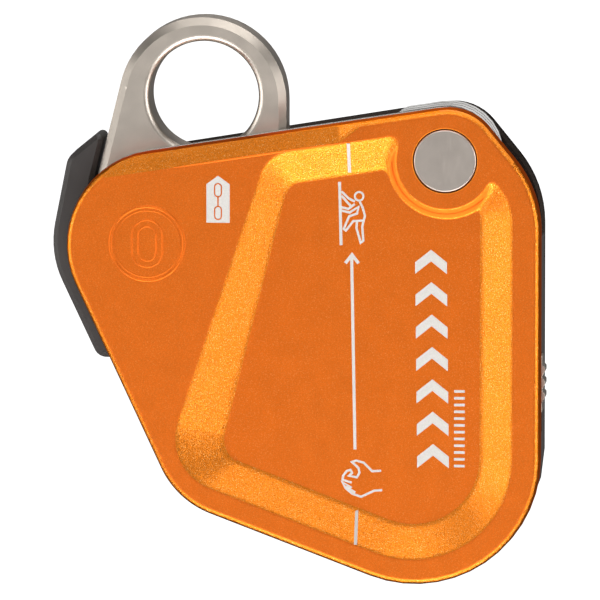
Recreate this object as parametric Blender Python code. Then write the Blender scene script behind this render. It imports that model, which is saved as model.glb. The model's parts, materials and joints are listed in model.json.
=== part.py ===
"""Assisted-braking belay device: two side plates around a rope channel, hung from a pivoting eye.

Metres, +Z up. The eye's axis runs along Y through the origin, the front plate faces -Y and the
rope runs up the channel along Z. Every outline is drawn in the X-Z plane and given its thickness
along Y.
"""
import math

import bmesh
import bpy
from mathutils import Vector

MM = 0.001

# Layers along Y, front to back, with a parting gap between neighbours
FRONT_FACE_Y = -10.5 * MM
FRONT_PLATE_THICKNESS = 4.5 * MM
LINER_THICKNESS = 1.5 * MM
CORE_THICKNESS = 10.3 * MM
WEAR_PLATE_THICKNESS = 1.0 * MM
BACK_PLATE_THICKNESS = 3.0 * MM
GAP = 0.3 * MM

# Side plates: five straight edges joined by round corners
PLATE_WIDTH = 98.0 * MM  # pointed upper left corner to the straight right edge
PLATE_HEIGHT = 101.9 * MM  # pointed top corner at the pivot to the pointed bottom corner
PIVOT = Vector((46.1 * MM, -11.3 * MM))
RIGHT_REACH = 18.0 * MM  # pivot axis to the right edge
TOP_REACH = 10.6 * MM  # pivot axis to the pointed top corner
TOP_CORNER_SHIFT = 4.6 * MM
UPPER_LEFT_DROP = 2.6 * MM
RIGHT_SHOULDER_DROP = 5.9 * MM
LOWER_LEFT_SHIFT = 29.0 * MM
LOWER_LEFT_RISE = 26.2 * MM
UPPER_LEFT_RADIUS = 17.8 * MM
TOP_RADIUS = 10.0 * MM
RIGHT_SHOULDER_RADIUS = 21.5 * MM
LOWER_RIGHT_RADIUS = 23.8 * MM
LOWER_LEFT_RADIUS = 17.0 * MM
EDGE_ROUND = 0.5 * MM

# Recessed panel of the front plate, with a raised boss left around the pivot
PANEL_DEPTH = 3.2 * MM
RIM_TOP = 3.8 * MM
RIM_SHOULDER = 5.5 * MM
RIM_RIGHT = 5.3 * MM
RIM_BOTTOM = 4.85 * MM
PANEL_BEVEL = 5.9 * MM
PANEL_LEFT_TOP = Vector((9.77 * MM, -19.0 * MM))
PANEL_LEFT_FOOT = Vector((-3.69 * MM, -59.66 * MM))
PANEL_BEVEL_LEFT_TOP = 5.7 * MM
PANEL_BEVEL_LEFT_FOOT = 8.8 * MM
PANEL_TOP_LEFT_RADIUS = 6.5 * MM
PANEL_FOOT_RADIUS = 9.0 * MM
PANEL_BOSS_CORNER_RADIUS = 0.5 * MM
PANEL_SHOULDER_RADIUS = 10.75 * MM
PANEL_LEAST_RADIUS = 1.0 * MM
BOSS_RADIUS = 9.2 * MM
BOSS_BEVEL = 1.8 * MM
FACET_WIDTH = 3.3 * MM
FACET_DROP = 0.7 * MM
FACET_END = 33.0 * MM

# Everything behind the front plate steps in a little from its outline
BACK_INSET = 0.3 * MM
BACK_EDGE = 0.6 * MM
BACK_TOP_LEFT_DROP = 0.6 * MM
LINER_TOP_LIP = 0.1 * MM
LINER_INSET = 0.6 * MM

# Anchor arm with its eye
EYE_OUTER_RADIUS = 15.9 * MM
EYE_OUTER_CENTRE = Vector((-0.35 * MM, -1.1 * MM))  # the ring is thinnest at its top
EYE_HOLE_RADIUS = 10.3 * MM
EYE_CHAMFER = 1.4 * MM
EYE_HOLE_ROUND = 1.2 * MM
EYE_HOLE_ROUND_STEPS = 3
EYE_STEPS = 64
ARM_LEFT_SLOPE = math.radians(13.9)
ARM_SHOULDER_Z = -18.0 * MM
ARM_SHOULDER_RADIUS = 4.0 * MM
ARM_WAIST = Vector((-10.5 * MM, -31.0 * MM))
ARM_WAIST_RADIUS = 8.0 * MM
ARM_NECK_RADIUS = 6.0 * MM
ARM_NOSE_LIP = 3.0 * MM
ARM_NOSE_RADIUS = 2.0 * MM
ARM_PIVOT = Vector((-2.0 * MM, -55.0 * MM))
ARM_BOSS_RADIUS = 10.8 * MM
ARM_PIN_RADIUS = 4.0 * MM
ARM_BUSH_WALL = 1.2 * MM
ARM_PIN_HEAD_RADIUS = 6.0 * MM
ARM_PIN_HEAD_THICKNESS = 1.2 * MM
ARM_SPRING_RADIUS = 7.1 * MM
ARM_SPRING_WIRE = 1.2 * MM
ARM_SPRING_TURNS = 2
ARM_SPRING_DEPTH = 4.2 * MM
ARM_WASHER_RADIUS = 9.8 * MM
STOP_PIN = Vector((16.0 * MM, -55.0 * MM))
STOP_PIN_RADIUS = 2.0 * MM
WEAR_PLATE_LAP = 2.5 * MM  # past the channel's left side
WEAR_PLATE_TOP_INSET = 2.5 * MM
WEAR_PLATE_TOP_RADIUS = 6.7 * MM
WEAR_PLATE_NOSE_RADIUS = 2.0 * MM
WEAR_PLATE_HEEL_RADIUS = 4.0 * MM
WEAR_PLATE_CORNER_RADIUS = 3.0 * MM
WEAR_PLATE_RIGHT_FOOT_Z = -59.0 * MM
WEAR_PLATE_LEFT_FOOT_Z = -66.5 * MM

# Rope channel between the arm's brake shoe and the brake plates
ROPE_X = 28.5 * MM
CHANNEL_HALF_WIDTH = 7.0 * MM
SHOE_TOP_Z = -22.0 * MM
SHOE_LENGTH = 18.0 * MM
SHOE_DEPTH = 6.0 * MM
SHOE_STAND_OUT = 1.5 * MM  # how far the shoe stands out of the arm's nose
SHOE_GROOVE_RADIUS = 6.0 * MM
SHOE_GROOVE_DEPTH = 1.2 * MM
SHOE_GROOVE_STEPS = 48
SHOE_END_RADIUS = 2.0 * MM
SHOE_TONGUE_THICKNESS = 4.0 * MM
SHOE_TONGUE_LENGTH = 5.0 * MM
SHOE_PIN_RADIUS = 1.25 * MM
SHOE_PIN_SPACING = 9.0 * MM

# Brake plates stacked on the main rivet
BRAKE_PLATE_COUNT = 3
BRAKE_PLATE_REACH = 9.9 * MM
BRAKE_PLATE_FOOT_Z = -46.0 * MM
BRAKE_PLATE_FOOT_WIDTH = 11.0 * MM
BRAKE_PLATE_NOSE_RADIUS = 3.5 * MM
BRAKE_PLATE_HEEL_RADIUS = 4.0 * MM
BRAKE_PLATE_NECK_RADIUS = 2.0 * MM
BRAKE_PLATE_FOOT_RADIUS = 3.0 * MM
BRAKE_PLATE_EDGE = 0.2 * MM
BRAKE_DOWEL_RADIUS = 2.0 * MM
BRAKE_DOWEL_RISE = 8.0 * MM  # above the brake plates' foot

# Main rivet, on which the front plate swings
RIVET_HEAD_RADIUS = 5.95 * MM
RIVET_HEAD_GAP = 0.15 * MM
RIVET_HEAD_THICKNESS = 2.0 * MM
RIVET_SHANK_RADIUS = 4.0 * MM
RIVET_BUSH_WALL = 1.3 * MM
RIVET_WASHER_THICKNESS = 0.6 * MM
REAR_HEAD_RADIUS = 6.8 * MM
REAR_HEAD_DEPTH = 1.5 * MM
HOLE_GAP = 0.2 * MM

# Moulded guard beside the arm and spacers between the plates
GUARD_STEP = 0.9 * MM  # its front face sits this far behind the arm's
GUARD_REACH = 29.6 * MM  # eye axis to its pointed left corner
GUARD_TOP_Z = -5.9 * MM
GUARD_FOOT_Z = -50.0 * MM
GUARD_CORNER_Z = -30.2 * MM
GUARD_FOOT_SHIFT = 9.3 * MM
GUARD_TOP_SHIFT = 3.6 * MM
GUARD_TOP_FALL = 6.1 * MM
GUARD_ARM_GAP = 0.6 * MM
GUARD_EDGE_ROUND = 0.9 * MM
GUARD_INNER_RADIUS = 1.0 * MM
GUARD_FOOT_RADIUS = 2.5 * MM
GUARD_CORNER_RADIUS = 18.0 * MM
GUARD_TOP_RADIUS = 3.5 * MM
SPACER_TOP_Z = -26.5 * MM
SPACER_WIDTH = 13.0 * MM
SPACER_EDGE = 0.4 * MM
SPACER_INLET_Z = -79.0 * MM
SPACER_INLET_FLARE = 17.0 * MM
SPACER_TOP_RADIUS = 2.0 * MM
SPACER_FLARE_RADIUS = 8.0 * MM
MOUTH_RADIUS = 4.0 * MM  # where the mouldings turn into the channel
GUIDE_TOP_Z = -69.5 * MM
INLET_BAR_RADIUS = 2.5 * MM
INLET_BAR_STAND_OUT = 0.8 * MM
INLET_BAR_RISE = 7.5 * MM  # above the plates' lower edge

# Thumb latch at the right edge
LATCH_RIDGES = 3
LATCH_RIDGE_PITCH = 2.47 * MM
LATCH_RIDGE_HEIGHT = 0.55 * MM
LATCH_RIDGE_TOP_Z = -50.4 * MM
LATCH_RIDGE_CREST = (0.25, 0.55)  # where each ridge is at its full height, as shares of the pitch
LATCH_RIDGE_END = 0.97
LATCH_DEPTH = 6.6 * MM  # into the spacer, from the plates' right edge
LATCH_THICKNESS = 5.4 * MM
LATCH_TRAVEL = 4.0 * MM
LATCH_END = 1.6 * MM
LATCH_SPRING_RADIUS = 1.6 * MM
LATCH_SPRING_WIRE = 0.6 * MM
LATCH_SPRING_TURNS = 6
LATCH_SPRING_LENGTH = 9.0 * MM
LATCH_SPRING_INSET = 2.8 * MM  # from the slider's inner side

# Screws and rivets
SCREW_RADIUS = 1.5 * MM
SCREW_HEAD_RADIUS = 3.1 * MM
SCREW_HEAD_THICKNESS = 1.6 * MM
SCREW_LENGTH = 9.0 * MM
SCREW_SOCKET_RADIUS = 1.4 * MM
SCREW_SOCKET_DEPTH = 1.1 * MM
SCREW_SOCKET_SIDES = 6
GUARD_SCREW_INSETS = (Vector((11.0 * MM, 1.0 * MM)), Vector((13.8 * MM, -12.0 * MM)))
GUIDE_SCREW_INSET = Vector((9.5 * MM, 6.5 * MM))
SPACER_UPPER_SCREW_DROP = 7.0 * MM
SPACER_LOWER_SCREW_SHIFT = 3.0 * MM
SPACER_LOWER_SCREW_RISE = 1.0 * MM
LINER_RIVET_RADIUS = 1.5 * MM
LINER_RIVET_LENGTH = 3.0 * MM
LINER_RIVET_FROM_UPPER_LEFT = Vector((17.8 * MM, -12.5 * MM))
LINER_RIVET_FROM_LOWER_LEFT = Vector((8.1 * MM, 0.8 * MM))
LINER_RIVET_FROM_RIGHT = 2.9 * MM
LINER_RIVET_ABOVE_LATCH = 16.0 * MM
PIN_HEAD_EDGE = 0.25 * MM

SHARP_ANGLE = math.radians(35)
ARC_STEPS = 8
FRONT_PLATE_ARC_STEPS = 12
COIL_STEPS = 14
COIL_SIDES = 6
ARM_SPRING_STEPS = 18
SPRING_ROOM_STEPS = 20
ROUND_STEPS = 40
SMALL_ROUND_STEPS = 16
BAR_STEPS = 24
OVERSHOOT = 1.0 * MM
LEAST_RADIUS = 0.05 * MM


# ---------------------------------------------------------------- layers

front_back_y = FRONT_FACE_Y + FRONT_PLATE_THICKNESS
liner_front_y = front_back_y + GAP
liner_back_y = liner_front_y + LINER_THICKNESS
core_front_y = liner_back_y + GAP
core_back_y = core_front_y + CORE_THICKNESS
wear_front_y = core_back_y + GAP
wear_back_y = wear_front_y + WEAR_PLATE_THICKNESS
back_front_y = wear_back_y + GAP
back_face_y = back_front_y + BACK_PLATE_THICKNESS
channel_left = ROPE_X - CHANNEL_HALF_WIDTH
channel_right = ROPE_X + CHANNEL_HALF_WIDTH


# ---------------------------------------------------------------- outlines in the X-Z plane

def left_of(start, end):
    """Unit normal on the left of the direction from start to end."""
    step = (end - start).normalized()
    return Vector((-step.y, step.x))


def meeting(a, b, c, d):
    """Where the line through a and b meets the line through c and d."""
    first = b - a
    second = d - c
    across = first.x * second.y - first.y * second.x
    share = ((c.x - a.x) * second.y - (c.y - a.y) * second.x) / across
    return a + first * share


def inset(corners, distances):
    """Corners of a clockwise outline with each edge moved inwards; an edge starts at its corner."""
    moved = []
    count = len(corners)
    for i, (point, radius) in enumerate(corners):
        before = corners[i - 1][0]
        after = corners[(i + 1) % count][0]
        into = -left_of(before, point) * distances[i - 1]
        out = -left_of(point, after) * distances[i]
        corner = meeting(before + into, point + into, point + out, after + out)
        if radius > 0:
            hollow = left_of(before, point).dot(after - point) > 0
            mean = (distances[i - 1] + distances[i]) / 2
            radius = max(radius + mean if hollow else radius - mean, LEAST_RADIUS)
        moved.append((corner, radius))
    return moved


def rounded(corners, steps=ARC_STEPS):
    """Points of an outline whose corners, each (point, radius), are joined by arcs."""
    points = []
    count = len(corners)
    for i, (corner, radius) in enumerate(corners):
        if radius == 0:
            points.append(corner.copy())
            continue
        before = (corners[i - 1][0] - corner).normalized()
        after = (corners[(i + 1) % count][0] - corner).normalized()
        half = before.angle(after) / 2
        centre = corner + (before + after).normalized() * (radius / math.sin(half))
        first = corner + before * (radius / math.tan(half)) - centre
        last = corner + after * (radius / math.tan(half)) - centre
        turn = math.atan2(first.x * last.y - first.y * last.x, first.dot(last))
        for step in range(steps + 1):
            angle = turn * step / steps
            cosine = math.cos(angle)
            sine = math.sin(angle)
            points.append(centre + Vector((first.x * cosine - first.y * sine,
                                           first.x * sine + first.y * cosine)))
    return points


def circle(centre, radius, steps=ROUND_STEPS):
    turn = -2 * math.pi / steps
    return [centre + Vector((math.cos(turn * i), math.sin(turn * i))) * radius for i in range(steps)]


def plate_corners():
    """The front plate's corners, clockwise from the upper left."""
    right = PIVOT.x + RIGHT_REACH
    top = PIVOT.y + TOP_REACH
    left = right - PLATE_WIDTH
    bottom = top - PLATE_HEIGHT
    upper_left = Vector((left, PIVOT.y - UPPER_LEFT_DROP))
    lower_left = Vector((left + LOWER_LEFT_SHIFT, bottom + LOWER_LEFT_RISE))
    return [
        (upper_left, UPPER_LEFT_RADIUS),
        (Vector((PIVOT.x + TOP_CORNER_SHIFT, top)), TOP_RADIUS),
        (Vector((right, PIVOT.y - RIGHT_SHOULDER_DROP)), RIGHT_SHOULDER_RADIUS),
        (Vector((right, bottom)), LOWER_RIGHT_RADIUS),
        (lower_left, LOWER_LEFT_RADIUS),
    ]


def back_corners():
    """The back plate's corners, which step in from the front plate's."""
    corners = inset(plate_corners(), [BACK_INSET] * 5)
    lowered = corners[0][0] + Vector((0, -BACK_TOP_LEFT_DROP))
    return [(lowered, corners[0][1])] + corners[1:]


def panel_corners(bevel, left_top, left_foot):
    """Corners of the recessed panel before the boss is left standing in it."""
    plate = plate_corners()
    rims = [RIM_TOP + bevel, RIM_SHOULDER + bevel, RIM_RIGHT + bevel, RIM_BOTTOM + bevel, 0]
    corners = inset(plate, rims)
    down = left_foot - left_top
    top_left = meeting(corners[0][0], corners[1][0], left_top, left_top + down)
    foot = meeting(corners[3][0], corners[4][0], left_top, left_top + down)
    share = 1 - bevel / (2 * PANEL_BEVEL)
    return [
        (top_left, PANEL_TOP_LEFT_RADIUS * share * share),
        (corners[1][0], PANEL_BOSS_CORNER_RADIUS),
        (corners[2][0], max(PANEL_SHOULDER_RADIUS - bevel, PANEL_LEAST_RADIUS)),
        (corners[3][0], corners[3][1]),
        (foot, PANEL_FOOT_RADIUS * share),
    ]


# ---------------------------------------------------------------- meshes

def material(name, colour, roughness, metallic):
    made = bpy.data.materials.new(name)
    made.use_nodes = True
    shader = made.node_tree.nodes["Principled BSDF"]
    shader.inputs["Base Color"].default_value = (*colour, 1)
    shader.inputs["Roughness"].default_value = roughness
    shader.inputs["Metallic"].default_value = metallic
    return made


def add_object(name, bm):
    bmesh.ops.recalc_face_normals(bm, faces=bm.faces)
    mesh = bpy.data.meshes.new(name)
    bm.to_mesh(mesh)
    bm.free()
    obj = bpy.data.objects.new(name, mesh)
    bpy.context.scene.collection.objects.link(obj)
    return obj


def loft(name, sections):
    """A closed solid through sections, each (outline, y), with equal numbers of points."""
    bm = bmesh.new()
    rings = [[bm.verts.new((p.x, y, p.y)) for p in outline] for outline, y in sections]
    count = len(rings[0])
    for ring, following in zip(rings, rings[1:]):
        for i in range(count):
            j = (i + 1) % count
            bm.faces.new((ring[i], ring[j], following[j], following[i]))
    bm.faces.new(rings[0])
    bm.faces.new(rings[-1][::-1])
    return add_object(name, bm)


def slab(name, corners, y0, y1, edge=0.0, steps=ARC_STEPS):
    """An outline given thickness, with both edges chamfered by edge."""
    full = rounded(corners, steps)
    if edge == 0:
        return loft(name, [(full, y0), (full, y1)])
    small = rounded(inset(corners, [edge] * len(corners)), steps)
    return loft(name, [(small, y0), (full, y0 + edge), (full, y1 - edge), (small, y1)])


def turned(name, centre, profile, steps=ROUND_STEPS):
    """A solid turned about Y through centre; the profile is (radius, y) from front to back."""
    return loft(name, [(circle(centre, radius, steps), y) for radius, y in profile])


def rod(name, centre, radius, y0, y1, steps=SMALL_ROUND_STEPS):
    return turned(name, centre, [(radius, y0), (radius, y1)], steps)


def coil(name, centre, axis, radius, wire, turns, length, steps=COIL_STEPS, sides=COIL_SIDES):
    """A spring wound about axis ("Y" or "Z") from centre, as one tube with closed ends."""
    bm = bmesh.new()
    rings = []
    total = turns * steps
    for step in range(total + 1):
        angle = 2 * math.pi * step / steps
        rise = length * step / total
        ring = []
        for side in range(sides):
            around = 2 * math.pi * side / sides
            out = radius + math.cos(around) * wire / 2
            up = rise + math.sin(around) * wire / 2
            across = (out * math.cos(angle), out * math.sin(angle))
            if axis == "Y":
                place = Vector((across[0], up, across[1]))
            else:
                place = Vector((across[0], across[1], up))
            ring.append(bm.verts.new(centre + place))
        rings.append(ring)
    for ring, following in zip(rings, rings[1:]):
        for i in range(sides):
            j = (i + 1) % sides
            bm.faces.new((ring[i], ring[j], following[j], following[i]))
    bm.faces.new(rings[0])
    bm.faces.new(rings[-1][::-1])
    return add_object(name, bm)


def combine(target, others, operation):
    """Cuts the others from the target, or joins them to it, and removes them."""
    for other in others:
        change = target.modifiers.new(operation.lower(), "BOOLEAN")
        change.operation = operation
        change.solver = "EXACT"
        change.object = other
        graph = bpy.context.evaluated_depsgraph_get()
        mesh = bpy.data.meshes.new_from_object(target.evaluated_get(graph))
        target.modifiers.clear()
        target.data = mesh
        bpy.data.objects.remove(other)
    return target


def cut(target, *others):
    return combine(target, others, "DIFFERENCE")


def join(target, *others):
    return combine(target, others, "UNION")


def box(name, low, high):
    bm = bmesh.new()
    bmesh.ops.create_cube(bm, size=1)
    for vert in bm.verts:
        vert.co = Vector([(low[i] + high[i]) / 2 + vert.co[i] * (high[i] - low[i]) for i in range(3)])
    return add_object(name, bm)


def bore(centre, radius, y0, y1, steps=ROUND_STEPS):
    return rod("bore", centre, radius, y0, y1, steps)


def finish(obj, made, pivot=None):
    """Gives a sub-part its material, its shading and its origin."""
    obj.data.materials.clear()
    obj.data.materials.append(made)
    obj.data.shade_smooth()
    obj.data.set_sharp_from_angle(angle=SHARP_ANGLE)
    if pivot is not None:
        for vert in obj.data.vertices:
            vert.co -= pivot
        obj.location = pivot
    return obj


# ---------------------------------------------------------------- swinging front plate

def front_plate():
    corners = plate_corners()
    plate = slab("front_plate", corners, FRONT_FACE_Y, front_back_y, EDGE_ROUND,
                 FRONT_PLATE_ARC_STEPS)
    left_shift = Vector((PANEL_BEVEL_LEFT_TOP, 0))
    foot_shift = Vector((PANEL_BEVEL_LEFT_FOOT, 0))
    outer = panel_corners(0, PANEL_LEFT_TOP, PANEL_LEFT_FOOT)
    inner = panel_corners(PANEL_BEVEL, PANEL_LEFT_TOP + left_shift, PANEL_LEFT_FOOT + foot_shift)
    floor_y = FRONT_FACE_Y + PANEL_DEPTH
    recess = loft("recess", [
        (rounded(outer), FRONT_FACE_Y - OVERSHOOT),
        (rounded(outer), FRONT_FACE_Y),
        (rounded(inner), floor_y),
    ])
    boss = turned("boss", PIVOT, [
        (BOSS_RADIUS, FRONT_FACE_Y - 2 * OVERSHOOT),
        (BOSS_RADIUS, FRONT_FACE_Y),
        (BOSS_RADIUS + BOSS_BEVEL, floor_y),
        (BOSS_RADIUS + BOSS_BEVEL, floor_y + OVERSHOOT),
    ])
    cut(recess, boss)
    head_room = RIVET_HEAD_THICKNESS + RIVET_WASHER_THICKNESS + 2 * GAP
    counterbore = bore(PIVOT, RIVET_HEAD_RADIUS + RIVET_HEAD_GAP,
                       FRONT_FACE_Y - OVERSHOOT, FRONT_FACE_Y + head_room)
    through = bore(PIVOT, swing_hole_radius(), FRONT_FACE_Y, front_back_y + OVERSHOOT)
    cut(plate, recess, top_facet(corners), counterbore, through)
    for place in liner_rivet_places():
        cut(plate, bore(place, LINER_RIVET_RADIUS + HOLE_GAP, front_back_y - LINER_RIVET_LENGTH / 2,
                        front_back_y + OVERSHOOT, SMALL_ROUND_STEPS))
    return plate


def top_facet(corners):
    """Wedge that slopes the front face back along the top edge, between the eye and the pivot."""
    start = corners[0][0]
    end = corners[1][0]
    up = left_of(start, end)
    step = (end - start).normalized()
    reach = (FACET_END - start.x) / step.x
    drop_rate = FACET_DROP / FACET_WIDTH
    bm = bmesh.new()
    ends = []
    for distance in (-UPPER_LEFT_RADIUS, reach):
        crease = start + step * distance - up * FACET_WIDTH
        edge = start + step * distance + up * OVERSHOOT
        drop = drop_rate * (FACET_WIDTH + OVERSHOOT)
        ends.append([
            bm.verts.new((crease.x, FRONT_FACE_Y - OVERSHOOT, crease.y)),
            bm.verts.new((crease.x, FRONT_FACE_Y, crease.y)),
            bm.verts.new((edge.x, FRONT_FACE_Y + drop, edge.y)),
            bm.verts.new((edge.x, FRONT_FACE_Y - OVERSHOOT, edge.y)),
        ])
    for i in range(4):
        j = (i + 1) % 4
        bm.faces.new((ends[0][i], ends[0][j], ends[1][j], ends[1][i]))
    bm.faces.new(ends[0])
    bm.faces.new(ends[1][::-1])
    return add_object("facet", bm)


def swing_hole_radius():
    return RIVET_SHANK_RADIUS + HOLE_GAP + RIVET_BUSH_WALL + HOLE_GAP


def front_liner():
    insets = [-LINER_TOP_LIP, LINER_INSET, LINER_INSET, LINER_INSET, LINER_INSET]
    liner = slab("front_liner", inset(plate_corners(), insets), liner_front_y, liner_back_y)
    cut(liner, bore(PIVOT, swing_hole_radius(), liner_front_y - OVERSHOOT, liner_back_y + OVERSHOOT))
    for place in liner_rivet_places():
        cut(liner, bore(place, LINER_RIVET_RADIUS + HOLE_GAP, liner_front_y - OVERSHOOT,
                        liner_back_y + OVERSHOOT, SMALL_ROUND_STEPS))
    return liner


def liner_rivet_places():
    """Three rivets that hold the liner in the plate's solid rim, clear of the panel."""
    corners = plate_corners()
    upper_left = corners[0][0] + LINER_RIVET_FROM_UPPER_LEFT
    lower_left = corners[4][0] + LINER_RIVET_FROM_LOWER_LEFT
    right = Vector((corners[2][0].x - LINER_RIVET_FROM_RIGHT,
                    LATCH_RIDGE_TOP_Z + LINER_RIVET_ABOVE_LATCH))
    return [upper_left, lower_left, right]


# ---------------------------------------------------------------- anchor arm

def arm_corners():
    """The arm below the eye, clockwise from the top of its left side."""
    left_top = EYE_OUTER_CENTRE + EYE_OUTER_RADIUS * Vector((-math.cos(ARM_LEFT_SLOPE),
                                                             math.sin(ARM_LEFT_SLOPE)))
    right = EYE_OUTER_CENTRE.x + EYE_OUTER_RADIUS
    slope = Vector((-math.sin(ARM_LEFT_SLOPE), -math.cos(ARM_LEFT_SLOPE)))
    shoulder = left_top + slope * ((ARM_SHOULDER_Z - left_top.y) / slope.y)
    nose_x = channel_left - SHOE_STAND_OUT
    nose_top = SHOE_TOP_Z + GAP + ARM_NOSE_LIP
    nose_foot = SHOE_TOP_Z - SHOE_LENGTH - GAP - ARM_NOSE_LIP
    return [
        (left_top, 0),
        (Vector((right, EYE_OUTER_CENTRE.y)), 0),
        (Vector((right, nose_top + 2 * (nose_x - right))), ARM_NECK_RADIUS),
        (Vector((nose_x, nose_top)), ARM_NOSE_RADIUS),
        (Vector((nose_x, nose_foot)), ARM_NOSE_RADIUS),
        (Vector((ARM_PIVOT.x + ARM_BOSS_RADIUS, ARM_PIVOT.y)), 0),
        (Vector((ARM_PIVOT.x - ARM_BOSS_RADIUS, ARM_PIVOT.y)), 0),
        (ARM_WAIST, ARM_WAIST_RADIUS),
        (shoulder, ARM_SHOULDER_RADIUS),
    ]


def edged_disc(name, centre, radius, steps):
    """A disc of the arm's thickness, with the eye's chamfer on both edges."""
    return turned(name, centre, [
        (radius - EYE_CHAMFER, core_front_y),
        (radius, core_front_y + EYE_CHAMFER),
        (radius, core_back_y - EYE_CHAMFER),
        (radius - EYE_CHAMFER, core_back_y),
    ], steps)


def eye_hole():
    """Cutter for the eye, whose rims are rounded for the connector that hangs in it."""
    profile = []
    for side in (0, 1):
        for step in range(EYE_HOLE_ROUND_STEPS + 1):
            angle = math.pi / 2 * step / EYE_HOLE_ROUND_STEPS
            out = EYE_HOLE_ROUND * (1 - math.sin(angle))
            into = EYE_HOLE_ROUND * (1 - math.cos(angle))
            profile.append((EYE_HOLE_RADIUS + out, into, side))
    front = [(radius, core_front_y + into) for radius, into, side in profile if side == 0]
    back = [(radius, core_back_y - into) for radius, into, side in profile if side == 1]
    mouth = EYE_HOLE_RADIUS + EYE_HOLE_ROUND
    return turned("hole", Vector((0, 0)), [
        (mouth, core_front_y - OVERSHOOT), *front, *back[::-1], (mouth, core_back_y + OVERSHOOT),
    ], EYE_STEPS)


def anchor_arm():
    arm = slab("anchor_arm", arm_corners(), core_front_y, core_back_y, EYE_CHAMFER)
    eye = edged_disc("eye", EYE_OUTER_CENTRE, EYE_OUTER_RADIUS, EYE_STEPS)
    hub = edged_disc("hub", ARM_PIVOT, ARM_BOSS_RADIUS, ROUND_STEPS)
    join(arm, eye, hub)
    front = core_front_y - OVERSHOOT
    back = core_back_y + OVERSHOOT
    seat = box("seat", (channel_left - SHOE_DEPTH - GAP, front, SHOE_TOP_Z - SHOE_LENGTH - GAP),
               (channel_left + OVERSHOOT, back, SHOE_TOP_Z + GAP))
    bush_hole = bore(ARM_PIVOT, arm_bush_radius() + HOLE_GAP, front, back)
    head_room = bore(ARM_PIVOT, ARM_PIN_HEAD_RADIUS + HOLE_GAP, front,
                     core_front_y + ARM_PIN_HEAD_THICKNESS + GAP)
    spring_pocket = bore(ARM_PIVOT, ARM_SPRING_RADIUS + ARM_SPRING_WIRE / 2 + GAP,
                         core_back_y - ARM_SPRING_DEPTH, back)
    cut(arm, eye_hole(), seat, bush_hole, head_room, spring_pocket, tongue("slot", GAP))
    for place in shoe_pin_places():
        cut(arm, bore(place, SHOE_PIN_RADIUS + HOLE_GAP, front, back, SMALL_ROUND_STEPS))
    return arm


def arm_bush_radius():
    return ARM_PIN_RADIUS + HOLE_GAP + ARM_BUSH_WALL


def tongue(name, gap):
    """The shoe's tongue, or the arm's slot for it when the gap is above zero."""
    middle = (core_front_y + core_back_y) / 2
    seat_x = channel_left - SHOE_DEPTH
    half = SHOE_TONGUE_THICKNESS / 2 + gap
    return box(name,
               (seat_x - SHOE_TONGUE_LENGTH - gap, middle - half, SHOE_TOP_Z - SHOE_LENGTH - gap),
               (seat_x + OVERSHOOT, middle + half, SHOE_TOP_Z + gap))


def shoe_pin_places():
    centre_z = SHOE_TOP_Z - SHOE_LENGTH / 2
    x = channel_left - SHOE_DEPTH - SHOE_TONGUE_LENGTH / 2
    return [Vector((x, centre_z + side * SHOE_PIN_SPACING / 2)) for side in (1, -1)]


def brake_shoe():
    seat_x = channel_left - SHOE_DEPTH
    foot = SHOE_TOP_Z - SHOE_LENGTH
    shoe = slab("brake_shoe", [
        (Vector((seat_x, SHOE_TOP_Z)), 0),
        (Vector((channel_left, SHOE_TOP_Z)), SHOE_END_RADIUS),
        (Vector((channel_left, foot)), SHOE_END_RADIUS),
        (Vector((seat_x, foot)), 0),
    ], core_front_y, core_back_y)
    join(shoe, tongue("shoe_tongue", 0))
    cut(shoe, rope_groove(foot))
    for place in shoe_pin_places():
        cut(shoe, bore(place, SHOE_PIN_RADIUS + HOLE_GAP, core_front_y - OVERSHOOT,
                       core_back_y + OVERSHOOT, SMALL_ROUND_STEPS))
    return shoe


def rope_groove(foot):
    """A round bar along Z that hollows the shoe's face for the rope."""
    bm = bmesh.new()
    bmesh.ops.create_cone(bm, cap_ends=True, segments=SHOE_GROOVE_STEPS,
                          radius1=SHOE_GROOVE_RADIUS, radius2=SHOE_GROOVE_RADIUS,
                          depth=SHOE_LENGTH + 4 * OVERSHOOT)
    x = channel_left - SHOE_GROOVE_DEPTH + SHOE_GROOVE_RADIUS
    middle = (core_front_y + core_back_y) / 2
    bmesh.ops.translate(bm, vec=(x, middle, foot + SHOE_LENGTH / 2), verts=bm.verts)
    return add_object("groove", bm)


# ---------------------------------------------------------------- fixed frame

def brake_corners():
    """Outline of a brake plate: round about the main rivet, with a flank along the channel."""
    plate = plate_corners()
    step = (plate[1][0] - plate[0][0]).normalized()
    up = left_of(plate[0][0], plate[1][0])
    top = PIVOT + up * BRAKE_PLATE_REACH
    right = PIVOT.x + BRAKE_PLATE_REACH
    top_left = meeting(top, top + step, Vector((channel_right, 0)), Vector((channel_right, -1)))
    top_right = meeting(top, top + step, Vector((right, 0)), Vector((right, -1)))
    neck_x = plate[2][0].x - BACK_INSET - SPACER_WIDTH - 2 * GAP
    return [
        (top_left, BRAKE_PLATE_NOSE_RADIUS),
        (top_right, BRAKE_PLATE_REACH),
        (Vector((right, PIVOT.y - BRAKE_PLATE_REACH)), BRAKE_PLATE_HEEL_RADIUS),
        (Vector((neck_x, SPACER_TOP_Z + 2 * GAP)), BRAKE_PLATE_NECK_RADIUS),
        (Vector((channel_right + BRAKE_PLATE_FOOT_WIDTH, BRAKE_PLATE_FOOT_Z)),
         BRAKE_PLATE_FOOT_RADIUS),
        (Vector((channel_right, BRAKE_PLATE_FOOT_Z)), BRAKE_PLATE_FOOT_RADIUS),
    ]


def dowel_place():
    return Vector((channel_right + BRAKE_PLATE_FOOT_WIDTH / 2, BRAKE_PLATE_FOOT_Z + BRAKE_DOWEL_RISE))


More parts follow.
